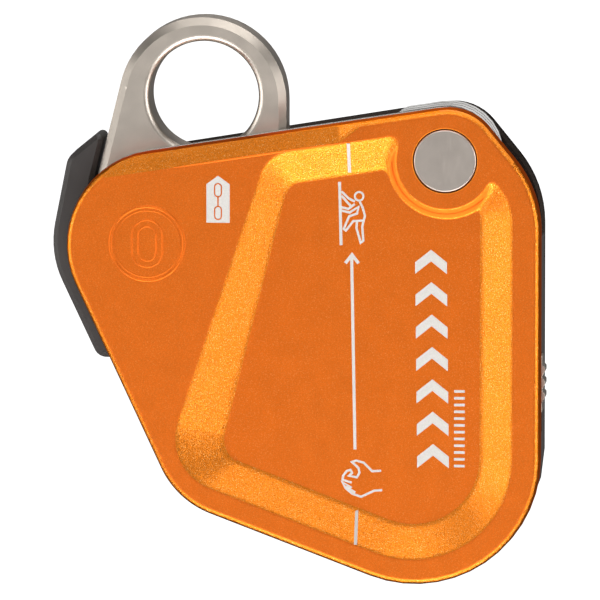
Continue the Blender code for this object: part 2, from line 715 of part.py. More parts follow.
def brake_plates():
    thickness = (CORE_THICKNESS - (BRAKE_PLATE_COUNT - 1) * GAP) / BRAKE_PLATE_COUNT
    plates = []
    for number in range(BRAKE_PLATE_COUNT):
        y0 = core_front_y + number * (thickness + GAP)
        y1 = y0 + thickness
        plate = slab(f"brake_plate_{number + 1}", brake_corners(), y0, y1,
                     BRAKE_PLATE_EDGE)
        cut(plate, bore(PIVOT, RIVET_SHANK_RADIUS + HOLE_GAP, y0 - OVERSHOOT, y1 + OVERSHOOT))
        cut(plate, bore(dowel_place(), BRAKE_DOWEL_RADIUS + HOLE_GAP, y0 - OVERSHOOT,
                        y1 + OVERSHOOT, SMALL_ROUND_STEPS))
        plates.append(plate)
    return plates


def guard_corners():
    """The guard's outline, clockwise from its top, with its inner side along the arm."""
    arm = arm_corners()
    boss_left, waist, shoulder, left_top = [arm[i][0] for i in (-3, -2, -1, 0)]
    upper = left_of(shoulder, left_top) * GUARD_ARM_GAP
    middle = left_of(waist, shoulder) * GUARD_ARM_GAP
    lower = left_of(boss_left, waist) * GUARD_ARM_GAP
    level = Vector((1, 0))
    top = Vector((0, GUARD_TOP_Z))
    foot = Vector((0, GUARD_FOOT_Z))
    return [
        (meeting(shoulder + upper, left_top + upper, top, top + level),
         GUARD_INNER_RADIUS),
        (meeting(left_top + upper, shoulder + upper, shoulder + middle, waist + middle),
         ARM_SHOULDER_RADIUS + GUARD_ARM_GAP),
        (meeting(shoulder + middle, waist + middle, waist + lower, boss_left + lower),
         ARM_WAIST_RADIUS),
        (meeting(waist + lower, boss_left + lower, foot, foot + level),
         GUARD_INNER_RADIUS),
        (foot + level * (GUARD_FOOT_SHIFT - GUARD_REACH), GUARD_FOOT_RADIUS),
        (Vector((-GUARD_REACH, GUARD_CORNER_Z)), GUARD_CORNER_RADIUS),
        (top + level * (GUARD_TOP_SHIFT - GUARD_REACH) - Vector((0, GUARD_TOP_FALL)),
         GUARD_TOP_RADIUS),
    ]


def arm_guard():
    guard = slab("arm_guard", guard_corners(), core_front_y + GUARD_STEP, back_front_y - GAP,
                 GUARD_EDGE_ROUND)
    for place in screw_places()["arm_guard"]:
        cut(guard, screw_hole(place))
    return guard


def between_plates(name, corners):
    """A moulding of the given outline, kept within the back plate's own outline."""
    piece = slab(name, back_corners(), core_front_y, back_front_y - GAP, SPACER_EDGE)
    reach = slab("reach", corners, core_front_y - OVERSHOOT, back_front_y + OVERSHOOT)
    return combine(piece, [reach], "INTERSECT")


def lower_guide_corners():
    left, foot = plate_corners()[0][0].x, plate_corners()[3][0].y
    return [
        (Vector((left, GUIDE_TOP_Z)), 0),
        (Vector((channel_left, GUIDE_TOP_Z)), MOUTH_RADIUS),
        (Vector((channel_left, foot)), 0),
        (Vector((left, foot)), 0),
    ]


def spacer_corners():
    edge = plate_corners()[3][0] + Vector((OVERSHOOT, -OVERSHOOT))
    left = plate_corners()[3][0].x - BACK_INSET - SPACER_WIDTH
    return [
        (Vector((left, SPACER_TOP_Z)), SPACER_TOP_RADIUS),
        (Vector((edge.x, SPACER_TOP_Z)), 0),
        (edge, 0),
        (Vector((channel_right, edge.y)), 0),
        (Vector((channel_right, SPACER_INLET_Z)), MOUTH_RADIUS),
        (Vector((left, SPACER_INLET_Z + SPACER_INLET_FLARE)), SPACER_FLARE_RADIUS),
    ]


def inlet_bar_places():
    """Steel bars at the channel's lower mouth, one in the guide and one in the spacer."""
    back = back_corners()
    places = []
    for x in (channel_left - INLET_BAR_RADIUS + INLET_BAR_STAND_OUT,
              channel_right + INLET_BAR_RADIUS - INLET_BAR_STAND_OUT):
        edge = meeting(back[4][0], back[3][0], Vector((x, 0)), Vector((x, -1)))
        places.append(edge + Vector((0, INLET_BAR_RISE)))
    return places


def inlet_bars():
    return [
        rod(f"inlet_bar_{side}", place, INLET_BAR_RADIUS, core_front_y, back_front_y - GAP,
            BAR_STEPS)
        for side, place in zip(("left", "right"), inlet_bar_places())
    ]


def bar_hole(place):
    return bore(place, INLET_BAR_RADIUS + HOLE_GAP, core_front_y - OVERSHOOT,
                back_front_y + OVERSHOOT, BAR_STEPS)


def lower_guide():
    guide = between_plates("lower_guide", lower_guide_corners())
    cut(guide, bar_hole(inlet_bar_places()[0]))
    for place in screw_places()["lower_guide"]:
        cut(guide, screw_hole(place))
    return guide


def latch_span():
    top = LATCH_RIDGE_TOP_Z + LATCH_END
    foot = LATCH_RIDGE_TOP_Z - LATCH_RIDGES * LATCH_RIDGE_PITCH - LATCH_END
    return foot, top


def latch_left():
    return PIVOT.x + RIGHT_REACH - BACK_INSET - LATCH_DEPTH


def side_spacer():
    spacer = between_plates("side_spacer", spacer_corners())
    foot, top = latch_span()
    right = PIVOT.x + RIGHT_REACH
    pocket = box("pocket",
                 (latch_left() - GAP, core_front_y - OVERSHOOT, foot - LATCH_TRAVEL - GAP),
                 (right + OVERSHOOT, core_front_y + LATCH_THICKNESS + GAP, top + GAP))
    cut(spacer, pocket, spring_room(), bar_hole(inlet_bar_places()[1]))
    for place in screw_places()["side_spacer"]:
        cut(spacer, screw_hole(place))
    return spacer


def spring_centre():
    return Vector((latch_left() + LATCH_SPRING_INSET, core_front_y + LATCH_THICKNESS / 2,
                   latch_span()[0] - LATCH_TRAVEL - GAP))


def spring_room():
    """The blind hole below the latch's pocket that seats the lower end of its spring."""
    centre = spring_centre()
    depth = LATCH_SPRING_LENGTH - LATCH_TRAVEL
    bm = bmesh.new()
    radius = LATCH_SPRING_RADIUS + LATCH_SPRING_WIRE / 2 + GAP
    bmesh.ops.create_cone(bm, cap_ends=True, segments=SPRING_ROOM_STEPS, radius1=radius,
                          radius2=radius, depth=depth + OVERSHOOT)
    bmesh.ops.translate(bm, vec=centre + Vector((0, 0, (OVERSHOOT - depth) / 2)), verts=bm.verts)
    return add_object("spring_room", bm)


def latch_slider():
    foot, top = latch_span()
    right = PIVOT.x + RIGHT_REACH
    points = [Vector((latch_left(), foot)), Vector((latch_left(), top)), Vector((right, top))]
    for ridge in range(LATCH_RIDGES):
        start = LATCH_RIDGE_TOP_Z - ridge * LATCH_RIDGE_PITCH
        points.append(Vector((right, start)))
        for share in LATCH_RIDGE_CREST:
            points.append(Vector((right + LATCH_RIDGE_HEIGHT, start - share * LATCH_RIDGE_PITCH)))
        points.append(Vector((right, start - LATCH_RIDGE_END * LATCH_RIDGE_PITCH)))
    points.append(Vector((right, foot)))
    return loft("latch_slider", [(points, core_front_y), (points, core_front_y + LATCH_THICKNESS)])


def latch_spring():
    centre = spring_centre() + Vector((0, 0, LATCH_TRAVEL - LATCH_SPRING_LENGTH))
    wire = LATCH_SPRING_WIRE
    start = centre + Vector((0, 0, wire / 2 + GAP))
    return coil("latch_spring", start, "Z", LATCH_SPRING_RADIUS, wire, LATCH_SPRING_TURNS,
                LATCH_SPRING_LENGTH - wire - GAP)


def wear_corners():
    """Steel plate that lines the channel's back, from the arm's boss to the spacer."""
    back = back_corners()
    top = inset(back, [WEAR_PLATE_TOP_INSET] * 5)
    left = channel_left - WEAR_PLATE_LAP
    right = PIVOT.x + BRAKE_PLATE_REACH
    foot_right = channel_right + BRAKE_PLATE_FOOT_WIDTH
    left_top = meeting(top[0][0], top[1][0], Vector((left, 0)), Vector((left, -1)))
    return [
        (left_top, WEAR_PLATE_NOSE_RADIUS),
        (top[1][0], WEAR_PLATE_TOP_RADIUS),
        (Vector((right, PIVOT.y - BRAKE_PLATE_REACH)), WEAR_PLATE_HEEL_RADIUS),
        (Vector((foot_right, SPACER_TOP_Z)), WEAR_PLATE_CORNER_RADIUS),
        (Vector((foot_right, WEAR_PLATE_RIGHT_FOOT_Z)), WEAR_PLATE_CORNER_RADIUS),
        (Vector((left, WEAR_PLATE_LEFT_FOOT_Z)), WEAR_PLATE_CORNER_RADIUS),
    ]


def wear_plate():
    plate = slab("wear_plate", wear_corners(), wear_front_y, wear_back_y)
    cut(plate, bore(PIVOT, RIVET_SHANK_RADIUS + HOLE_GAP, wear_front_y - OVERSHOOT,
                    wear_back_y + OVERSHOOT))
    cut(plate, bore(dowel_place(), BRAKE_DOWEL_RADIUS + HOLE_GAP, wear_front_y - OVERSHOOT,
                    wear_back_y + OVERSHOOT, SMALL_ROUND_STEPS))
    return plate


def back_plate():
    plate = slab("back_plate", back_corners(), back_front_y, back_face_y, BACK_EDGE)
    holes = [
        (PIVOT, RIVET_SHANK_RADIUS, REAR_HEAD_RADIUS, REAR_HEAD_DEPTH, ROUND_STEPS),
        (ARM_PIVOT, ARM_PIN_RADIUS, ARM_PIN_HEAD_RADIUS, REAR_HEAD_DEPTH, ROUND_STEPS),
    ]
    for places in screw_places().values():
        for place in places:
            holes.append((place, SCREW_RADIUS, SCREW_HEAD_RADIUS, SCREW_HEAD_THICKNESS,
                          SMALL_ROUND_STEPS))
    for place, shank, head, depth, steps in holes:
        cut(plate, bore(place, shank + HOLE_GAP, back_front_y - OVERSHOOT, back_face_y + OVERSHOOT,
                        steps))
        cut(plate, bore(place, head + HOLE_GAP, back_face_y - depth - GAP, back_face_y + OVERSHOOT,
                        steps))
    for place, radius in ((dowel_place(), BRAKE_DOWEL_RADIUS), (STOP_PIN, STOP_PIN_RADIUS)):
        cut(plate, bore(place, radius + HOLE_GAP, back_front_y - OVERSHOOT,
                        back_front_y + BACK_PLATE_THICKNESS / 2, SMALL_ROUND_STEPS))
    return plate


# ---------------------------------------------------------------- pins, bushes, rivets and screws

def headed_pin(name, centre, radius, front_head, front_y, rear_head):
    """A shank from front_y to the back face, with a head at each end."""
    head_radius, head_thickness = front_head
    rear_radius, rear_thickness = rear_head
    edge = PIN_HEAD_EDGE
    return turned(name, centre, [
        (head_radius - edge, front_y),
        (head_radius, front_y + edge),
        (head_radius, front_y + head_thickness),
        (radius, front_y + head_thickness),
        (radius, back_face_y - rear_thickness),
        (rear_radius, back_face_y - rear_thickness),
        (rear_radius, back_face_y - edge),
        (rear_radius - edge, back_face_y),
    ])


def ring(name, centre, inner, outer, y0, y1, steps=ROUND_STEPS):
    made = rod(name, centre, outer, y0, y1, steps)
    return cut(made, bore(centre, inner, y0 - OVERSHOOT, y1 + OVERSHOOT, steps))


def pivot_parts():
    washer_y = FRONT_FACE_Y + RIVET_HEAD_THICKNESS + GAP
    bush_y = washer_y + RIVET_WASHER_THICKNESS + GAP
    inner = RIVET_SHANK_RADIUS + HOLE_GAP
    rivet = headed_pin("main_rivet", PIVOT, RIVET_SHANK_RADIUS,
                       (RIVET_HEAD_RADIUS, RIVET_HEAD_THICKNESS), FRONT_FACE_Y,
                       (REAR_HEAD_RADIUS, REAR_HEAD_DEPTH))
    washer = ring("rivet_washer", PIVOT, inner, RIVET_HEAD_RADIUS - HOLE_GAP, washer_y,
                  washer_y + RIVET_WASHER_THICKNESS)
    bush = ring("rivet_bush", PIVOT, inner, inner + RIVET_BUSH_WALL, bush_y, liner_back_y)
    return rivet, washer, bush


def arm_pivot_parts():
    pin = headed_pin("arm_pin", ARM_PIVOT, ARM_PIN_RADIUS,
                     (ARM_PIN_HEAD_RADIUS, ARM_PIN_HEAD_THICKNESS), core_front_y,
                     (ARM_PIN_HEAD_RADIUS, REAR_HEAD_DEPTH))
    bush_y = core_front_y + ARM_PIN_HEAD_THICKNESS + GAP
    bush = ring("arm_bush", ARM_PIVOT, ARM_PIN_RADIUS + HOLE_GAP, arm_bush_radius(), bush_y,
                core_back_y)
    start = Vector((ARM_PIVOT.x, core_back_y - ARM_SPRING_DEPTH + GAP + ARM_SPRING_WIRE / 2,
                    ARM_PIVOT.y))
    spring = coil("arm_spring", start, "Y", ARM_SPRING_RADIUS, ARM_SPRING_WIRE, ARM_SPRING_TURNS,
                  ARM_SPRING_DEPTH - ARM_SPRING_WIRE - GAP, ARM_SPRING_STEPS)
    washer = ring("arm_washer", ARM_PIVOT, ARM_PIN_RADIUS + HOLE_GAP, ARM_WASHER_RADIUS,
                  wear_front_y, wear_back_y)
    return pin, bush, spring, washer


def screw_places():
    """Where the frame's screws go, by the piece that they hold to the back plate."""
    middle = back_corners()[2][0].x - SPACER_WIDTH / 2
    guard_corner = Vector((-GUARD_REACH, GUARD_CORNER_Z))
    return {
        "arm_guard": [guard_corner + place for place in GUARD_SCREW_INSETS],
        "lower_guide": [Vector((channel_left, GUIDE_TOP_Z)) - GUIDE_SCREW_INSET],
        "side_spacer": [Vector((middle, SPACER_TOP_Z - SPACER_UPPER_SCREW_DROP)),
                        Vector((middle - SPACER_LOWER_SCREW_SHIFT,
                                SPACER_INLET_Z + SPACER_LOWER_SCREW_RISE))],
    }


def screw_hole(place):
    return bore(place, SCREW_RADIUS + HOLE_GAP, back_face_y - SCREW_LENGTH - GAP,
                back_face_y + OVERSHOOT, SMALL_ROUND_STEPS)


def frame_screws():
    screws = []
    for places in screw_places().values():
        for place in places:
            screw = turned(f"frame_screw_{len(screws) + 1}", place, [
                (SCREW_RADIUS, back_face_y - SCREW_LENGTH),
                (SCREW_RADIUS, back_face_y - SCREW_HEAD_THICKNESS),
                (SCREW_HEAD_RADIUS, back_face_y - SCREW_HEAD_THICKNESS),
                (SCREW_HEAD_RADIUS, back_face_y),
            ], SMALL_ROUND_STEPS)
            socket = bore(place, SCREW_SOCKET_RADIUS, back_face_y - SCREW_SOCKET_DEPTH,
                          back_face_y + OVERSHOOT, SCREW_SOCKET_SIDES)
            screws.append(cut(screw, socket))
    return screws


def liner_rivets():
    return [
        rod(f"liner_rivet_{number + 1}", place, LINER_RIVET_RADIUS,
            front_back_y - LINER_RIVET_LENGTH / 2 + GAP, liner_back_y)
        for number, place in enumerate(liner_rivet_places())
    ]


def shoe_pins():
    return [
        rod(f"shoe_pin_{number + 1}", place, SHOE_PIN_RADIUS, core_front_y, core_back_y)
        for number, place in enumerate(shoe_pin_places())
    ]


# ---------------------------------------------------------------- assembly

def build():
    for obj in list(bpy.data.objects):
        bpy.data.objects.remove(obj)

    orange = material("orange_anodised", (0.69, 0.13, 0.01), 0.35, 0.9)
    black = material("black_anodised", (0.02, 0.02, 0.02), 0.45, 0.6)
    moulded = material("dark_moulding", (0.05, 0.045, 0.04), 0.6, 0.0)
    satin = material("satin_alloy", (0.48, 0.45, 0.41), 0.4, 1.0)
    steel = material("polished_steel", (0.72, 0.71, 0.70), 0.2, 1.0)
    bronze = material("bearing_bronze", (0.45, 0.28, 0.12), 0.4, 1.0)

    at_pivot = Vector((PIVOT.x, 0, PIVOT.y))
    at_arm = Vector((ARM_PIVOT.x, 0, ARM_PIVOT.y))

    finish(front_plate(), orange, at_pivot)
    finish(front_liner(), steel, at_pivot)
    for rivet in liner_rivets():
        finish(rivet, steel, at_pivot)

    finish(anchor_arm(), satin)
    finish(brake_shoe(), steel)
    for pin in shoe_pins():
        finish(pin, steel)

    finish(back_plate(), black, at_arm)
    finish(wear_plate(), steel, at_arm)
    for plate in brake_plates():
        finish(plate, steel, at_arm)
    pin_end = back_front_y + BACK_PLATE_THICKNESS / 2 - GAP
    dowel = rod("brake_dowel", dowel_place(), BRAKE_DOWEL_RADIUS, core_front_y, pin_end)
    stop = rod("stop_pin", STOP_PIN, STOP_PIN_RADIUS, core_front_y, pin_end)
    for piece in (dowel, stop, *inlet_bars()):
        finish(piece, steel, at_arm)
    for piece in (arm_guard(), lower_guide(), side_spacer()):
        finish(piece, moulded, at_arm)

    rivet, washer, bush = pivot_parts()
    pin, arm_bush, spring, arm_washer = arm_pivot_parts()
    for piece in (rivet, pin, spring, *frame_screws()):
        finish(piece, steel, at_arm)
    for piece in (washer, bush, arm_washer):
        finish(piece, bronze, at_arm)
    finish(arm_bush, bronze)

    finish(latch_slider(), steel)
    finish(latch_spring(), steel, at_arm)


build()
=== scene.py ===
"""Looks for a belay device that hangs by its eye: surfaces, markings and light.

Metres, +Z up. The eye's axis runs along Y through the origin, the front plate faces -Y and the
rope runs up the channel along Z. Outlines are drawn in the X-Z plane.
"""
import json
import math

import bmesh
import bpy
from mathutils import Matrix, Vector


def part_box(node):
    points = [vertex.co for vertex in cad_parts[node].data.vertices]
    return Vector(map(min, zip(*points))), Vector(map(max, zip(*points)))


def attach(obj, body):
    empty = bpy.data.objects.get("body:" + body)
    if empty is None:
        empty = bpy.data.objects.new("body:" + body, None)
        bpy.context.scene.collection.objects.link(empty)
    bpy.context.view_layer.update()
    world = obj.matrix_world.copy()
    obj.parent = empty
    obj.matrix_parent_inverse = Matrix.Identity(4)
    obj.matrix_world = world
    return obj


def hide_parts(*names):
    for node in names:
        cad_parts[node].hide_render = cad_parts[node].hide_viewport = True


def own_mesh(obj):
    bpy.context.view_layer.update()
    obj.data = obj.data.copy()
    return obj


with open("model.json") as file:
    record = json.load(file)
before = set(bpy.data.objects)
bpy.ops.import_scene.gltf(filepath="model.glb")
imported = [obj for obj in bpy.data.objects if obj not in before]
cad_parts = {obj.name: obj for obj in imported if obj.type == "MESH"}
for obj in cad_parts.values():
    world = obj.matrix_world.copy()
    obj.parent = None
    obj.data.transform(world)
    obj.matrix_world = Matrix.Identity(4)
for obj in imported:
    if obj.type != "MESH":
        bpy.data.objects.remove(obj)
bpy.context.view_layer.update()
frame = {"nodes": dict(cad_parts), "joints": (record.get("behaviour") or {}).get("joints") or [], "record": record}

MM = 0.001
joints = {joint["name"]: joint for joint in frame["joints"]}
plate_low, plate_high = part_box("front_plate")
arm_low, arm_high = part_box("anchor_arm")
swing = joints["plate_swing"]["pos_m"]
PIVOT = Vector((swing[0], swing[2]))
FRONT_Y = plate_low.y
BACK_Y = plate_high.y

# Front plate: corners as (across, up, radius) from the pivot, clockwise from the upper left
PLATE_CORNERS = (
    (-80.0 * MM, -2.6 * MM, 17.8 * MM),
    (4.6 * MM, 10.6 * MM, 10.0 * MM),
    (18.0 * MM, -5.9 * MM, 21.5 * MM),
    (18.0 * MM, -91.3 * MM, 23.8 * MM),
    (-51.0 * MM, -65.1 * MM, 17.0 * MM),
)
BACK_EDGE_ROUND = 0.25 * MM
WALL_DRAFT = 0.15 * MM  # how far the outer wall leans in towards the front
EDGE_FILLET_WIDTH = 1.2 * MM
EDGE_FILLET_DEPTH = 1.1 * MM

# Recessed panel
PANEL_DEPTH = 3.2 * MM
PANEL_BEVEL = 5.9 * MM
RIM_TOP = 3.8 * MM
RIM_SHOULDER = 5.5 * MM
RIM_RIGHT = 5.3 * MM
RIM_BOTTOM = 4.85 * MM
PANEL_LEFT_TOP = Vector((9.77 * MM, -19.0 * MM))
PANEL_LEFT_FOOT = Vector((-3.69 * MM, -59.66 * MM))
LEFT_BEVEL_TOP = Vector((5.7 * MM, 0))
LEFT_BEVEL_FOOT = Vector((8.8 * MM, 0))
BOSS_RADIUS = 9.2 * MM
BOSS_BEVEL = 1.9 * MM
BOSS_BEND = 3  # the higher, the steeper the boss's side halfway down
BOSS_ROUNDING = 0.3  # share of that bend in the side's shape
BOSS_SOFTNESS = 1.6  # shares of the bevel by which crest and foot reach out
TOP_LEFT_RADIUS = (6.5 * MM, 3.0 * MM)  # at the rim and at the floor
SHOULDER_RADIUS = (10.75 * MM, 1.4 * MM)
FOOT_RADIUS = (10.0 * MM, 5.0 * MM)
LEFT_TIP_RADIUS = (1.6 * MM, 1.6 * MM)
RIGHT_TIP_RADIUS = (1.1 * MM, 0.5 * MM)
RIM_SOFTNESS = 0.085  # shares of the bevel's width over which it rounds into rim and floor
FLOOR_SOFTNESS = 0.11
SOFT_STEPS = 5
SLOPE_STEPS = 7
ARC_STEPS = 14

# Facet along the top edge
FACET_WIDTH = 3.5 * MM
FACET_DROP = 0.7 * MM
FACET_FADE = 25.5 * MM
FACET_END = 34.0 * MM

# Counterbore for the main rivet's head
RIVET_SEAT = 6.1 * MM
RIVET_SEAT_CHAMFER = 0.12 * MM
SWING_CLEARANCE = 0.2 * MM
WASHER_CLEARANCE = 0.3 * MM

# Printed and embossed marks; their places are in millimetres
MARK_LINE = 0.42 * MM
CHEVRONS = 7
CHEVRON_TOP = -28.4
CHEVRON_PITCH = 6.15
CHEVRON_LEAN = 0.07
TICKS = 12
TICK_TOP = -55.0
TICK_PITCH = 1.29
TICK_HEIGHT = 0.5
LINK_LINE = 0.22
BADGE_CENTRE = (-10.15, -27.4)
BEAD_STEPS = 6
CREASE_STEPS = 24
CREASE_START = -6.0 * MM
CREASE_LENGTH = 34.0 * MM
INK_HEIGHT = 0.03 * MM
INK_SINK = 0.05 * MM
INK_STEP = 0.002 * MM  # keeps the faces of crossing strokes apart
PANEL_FLOOR_Y = FRONT_Y + PANEL_DEPTH

# Pieces behind the front plate
EYE_BORE = 10.32 * MM
EYE_RIM_ROUND = 1.35 * MM
EYE_SIDES = 128
EYE_STEPS = 8
STACK_STEPS = 6
STACK_BORE_MARGIN = 0.5 * MM
PAINTED_SHADE_SLOPE = 0.22  # a brake plate's round gets painted shade, a dark steel, where it faces forwards more than this
FLAT_FACE = 0.98  # and its flat faces, above this, are not


# ---------------------------------------------------------------- outlines

def left_of(start, end):
    """Unit normal on the left of the direction from start to end."""
    step = (end - start).normalized()
    return Vector((-step.y, step.x))


def meeting(a, b, c, d):
    """Where the line through a and b meets the line through c and d."""
    first = b - a
    second = d - c
    across = first.x * second.y - first.y * second.x
    share = ((c.x - a.x) * second.y - (c.y - a.y) * second.x) / across
    return a + first * share


def blend(pair, share):
    return pair[0] + (pair[1] - pair[0]) * share


def arc(centre, radius, start, turn, steps=ARC_STEPS):
    """Points on a circle from the angle start through the angle turn."""
    angles = [start + turn * step / steps for step in range(steps + 1)]
    return [centre + Vector((math.cos(a), math.sin(a))) * radius for a in angles]


def corner_arc(before, corner, after, radius, steps=ARC_STEPS):
    """The arc that rounds a corner between two straight edges."""
    back = (before - corner).normalized()
    on = (after - corner).normalized()
    half = back.angle(on) / 2
    centre = corner + (back + on).normalized() * (radius / math.sin(half))
    first = corner + back * (radius / math.tan(half)) - centre
    last = corner + on * (radius / math.tan(half)) - centre
    turn = math.atan2(first.x * last.y - first.y * last.x, first.dot(last))
    return arc(centre, radius, math.atan2(first.y, first.x), turn, steps)


def plate_points():
    return [PIVOT + Vector((x, z)) for x, z, _ in PLATE_CORNERS]


def moved_edge(index, distance):
    """The plate's edge that starts at a corner, moved inwards, as two points."""
    points = plate_points()
    start = points[index]
    end = points[(index + 1) % len(points)]
    into = -left_of(start, end) * distance
    return start + into, end + into


def plate_outline(distance):
    """The plate's outline, moved inwards."""
    edges = [moved_edge(i, distance) for i in range(len(PLATE_CORNERS))]
    corners = [meeting(*edges[i - 1], *edges[i]) for i in range(len(edges))]
    points = []
    for i, corner in enumerate(corners):
        after = corners[(i + 1) % len(corners)]
        points += corner_arc(corners[i - 1], corner, after, PLATE_CORNERS[i][2] - distance)
    return points


def circle(centre, radius, steps=96):
    return arc(centre, radius, 0, -2 * math.pi, steps)[:-1]


def tip_arc(edge, side, radius, boss):
    """The arc that rounds the panel's tip between a straight edge and the boss.

    side is -1 for the tip left of the boss and 1 for the one right of it.
    """
    start, end = edge
    into = -left_of(start, end)
    step = (end - start).normalized()
    near = start + into * radius
    foot = near + step * (PIVOT - near).dot(step)
    reach = math.sqrt((boss + radius) ** 2 - (PIVOT - foot).length_squared)
    centre = foot + step * (reach * side)
    on_edge = -into
    on_boss = (PIVOT - centre).normalized()
    first, last = (on_edge, on_boss) if side < 0 else (on_boss, on_edge)
    turn = math.atan2(first.x * last.y - first.y * last.x, first.dot(last))
    return arc(centre, radius, math.atan2(first.y, first.x), turn, ARC_STEPS // 2)


def boss_radius(share, deep):
    """The boss's radius at a share of the panel's depth: rounded at its crest and foot."""
    bend = 2 * deep - 1
    rounding = (1 + math.copysign(abs(bend) ** BOSS_BEND, bend)) / 2
    straight = deep + (rounding - deep) * BOSS_ROUNDING
    return BOSS_RADIUS + BOSS_BEVEL * (straight + BOSS_SOFTNESS * (share - deep))


def panel_outline(share, deep):
    """The panel's outline from the rim, at share 0, to the floor, at share 1."""
    bevel = PANEL_BEVEL * share
    boss = boss_radius(share, deep)
    top = moved_edge(0, RIM_TOP + bevel)
    shoulder = moved_edge(1, RIM_SHOULDER + bevel)
    right = moved_edge(2, RIM_RIGHT + bevel)
    bottom = moved_edge(3, RIM_BOTTOM + bevel)
    left = (PANEL_LEFT_FOOT + LEFT_BEVEL_FOOT * share, PANEL_LEFT_TOP + LEFT_BEVEL_TOP * share)
    top_left = meeting(*left, *top)
    right_top = meeting(*shoulder, *right)
    low_right = meeting(*right, *bottom)
    foot = meeting(*bottom, *left)

    tip_left = tip_arc(top, -1, blend(LEFT_TIP_RADIUS, share), boss)
    tip_right = tip_arc(shoulder, 1, blend(RIGHT_TIP_RADIUS, share), boss)
    start = tip_left[-1] - PIVOT
    end = tip_right[0] - PIVOT
    first = math.atan2(start.y, start.x)
    sweep = (math.atan2(end.y, end.x) - first) % (2 * math.pi)
    round_boss = arc(PIVOT, boss, first, sweep, 3 * ARC_STEPS)[1:-1]
    return [
        *corner_arc(foot, top_left, tip_left[0], blend(TOP_LEFT_RADIUS, share)),
        *tip_left,
        *round_boss,
        *tip_right,
        *corner_arc(tip_right[-1], right_top, low_right, blend(SHOULDER_RADIUS, share)),
        *corner_arc(right_top, low_right, foot, PLATE_CORNERS[3][2] - RIM_BOTTOM - bevel),
        *corner_arc(low_right, foot, top_left, blend(FOOT_RADIUS, share)),
    ]


def panel_profile():
    """Rings of the panel as (share of the bevel, share of the depth), rounded at both ends."""
    rings = []
    for step in range(SOFT_STEPS + 1):
        out = step / SOFT_STEPS
        rings.append((RIM_SOFTNESS * (2 * out - 1), RIM_SOFTNESS * out * out))
    straight = 1 - RIM_SOFTNESS - FLOOR_SOFTNESS
    for step in range(1, SLOPE_STEPS):
        share = RIM_SOFTNESS + straight * step / SLOPE_STEPS
        rings.append((share, share))
    for step in range(SOFT_STEPS, -1, -1):
        out = step / SOFT_STEPS
        rings.append((1 - FLOOR_SOFTNESS * (2 * out - 1), 1 - FLOOR_SOFTNESS * out * out))
    return rings


# ---------------------------------------------------------------- modelling

RING_SPACING = 5 * MM


def start(name, add, **settings):
    """Adds a primitive with nothing else selected, and gives it its name."""
    bpy.ops.object.select_all(action="DESELECT")
    add(**settings)
    piece = bpy.context.object
    piece.name = name
    piece.data.name = name
    return piece


def choose(piece):
    bpy.ops.object.select_all(action="DESELECT")
    piece.select_set(True)
    bpy.context.view_layer.objects.active = piece


def edit(piece):
    choose(piece)
    bpy.ops.object.mode_set(mode="EDIT")
    bpy.ops.mesh.select_mode(type="VERT")
    bpy.ops.mesh.select_all(action="DESELECT")
    return bmesh.from_edit_mesh(piece.data)


def done(piece):
    bmesh.update_edit_mesh(piece.data)
    bpy.ops.object.mode_set(mode="OBJECT")


def close(piece):
    """Turns all faces outwards and leaves edit mode."""
    bpy.ops.mesh.select_all(action="SELECT")
    bpy.ops.mesh.normals_make_consistent(inside=False)
    done(piece)


def select(mesh, firsts, count):
    """Selects rings of vertices, each numbered from its first, and the edges between them."""
    bpy.ops.mesh.select_all(action="DESELECT")
    mesh.verts.ensure_lookup_table()
    for first in firsts:
        for vert in mesh.verts[first:first + count]:
            vert.select = True
    mesh.select_flush_mode()


def bridge(piece, mesh, firsts, count):
    select(mesh, firsts, count)
    bpy.ops.mesh.bridge_edge_loops()
    return bmesh.from_edit_mesh(piece.data)


def cap(piece, mesh, first, count):
    select(mesh, (first,), count)
    bpy.ops.mesh.edge_face_add()
    return bmesh.from_edit_mesh(piece.data)


def lay_rings(piece, rings):
    """Lays the piece's circle along the first ring, and a new circle along each other one.

    Returns the mesh and the number of each ring's first vertex.
    """
    mesh = edit(piece)
    firsts = []
    for places in rings:
        first = len(mesh.verts) if firsts else 0
        if firsts:
            bpy.ops.mesh.primitive_circle_add(vertices=len(places), radius=MM,
                                              fill_type="NOTHING")
            mesh = bmesh.from_edit_mesh(piece.data)
        mesh.verts.ensure_lookup_table()
        for vert, place in zip(mesh.verts[first:], places):
            vert.co = place
        firsts.append(first)
    return mesh, firsts


def skin(name, sections, cap_first=True, endless=False):
    """Rings laid along sections, each (points, y), bridged one to the next and capped.

    An endless skin bridges its last ring to its first instead.
    """
    count = len(sections[0][0])
    piece = start(name, bpy.ops.mesh.primitive_circle_add, vertices=count, radius=MM)
    # Rings are bridged well apart, which keeps flat rings from being joined with a twist
    mesh, firsts = lay_rings(piece, [[(point.x, number * RING_SPACING, point.y)
                                      for point in points]
                                     for number, (points, _) in enumerate(sections)])
    followers = firsts[1:] + firsts[:1] if endless else firsts[1:]
    for pair in zip(firsts, followers):
        mesh = bridge(piece, mesh, pair, count)
    for wanted, first in ((cap_first, firsts[0]), (True, firsts[-1])):
        if wanted and not endless:
            mesh = cap(piece, mesh, first, count)
    mesh.verts.ensure_lookup_table()
    for first, (points, y) in zip(firsts, sections):
        for vert, point in zip(mesh.verts[first:first + count], points):
            vert.co = (point.x, y, point.y)
    close(piece)
    return piece


def change(piece, kind, **settings):
    """Adds a modifier and applies it."""
    choose(piece)
    modifier = piece.modifiers.new(kind.lower(), kind)
    for name, value in settings.items():
        setattr(modifier, name, value)
    bpy.ops.object.modifier_apply(modifier=modifier.name)


def cut(piece, cutter):
    change(piece, "BOOLEAN", operation="DIFFERENCE", object=cutter, solver="EXACT")
    bpy.data.objects.remove(cutter)


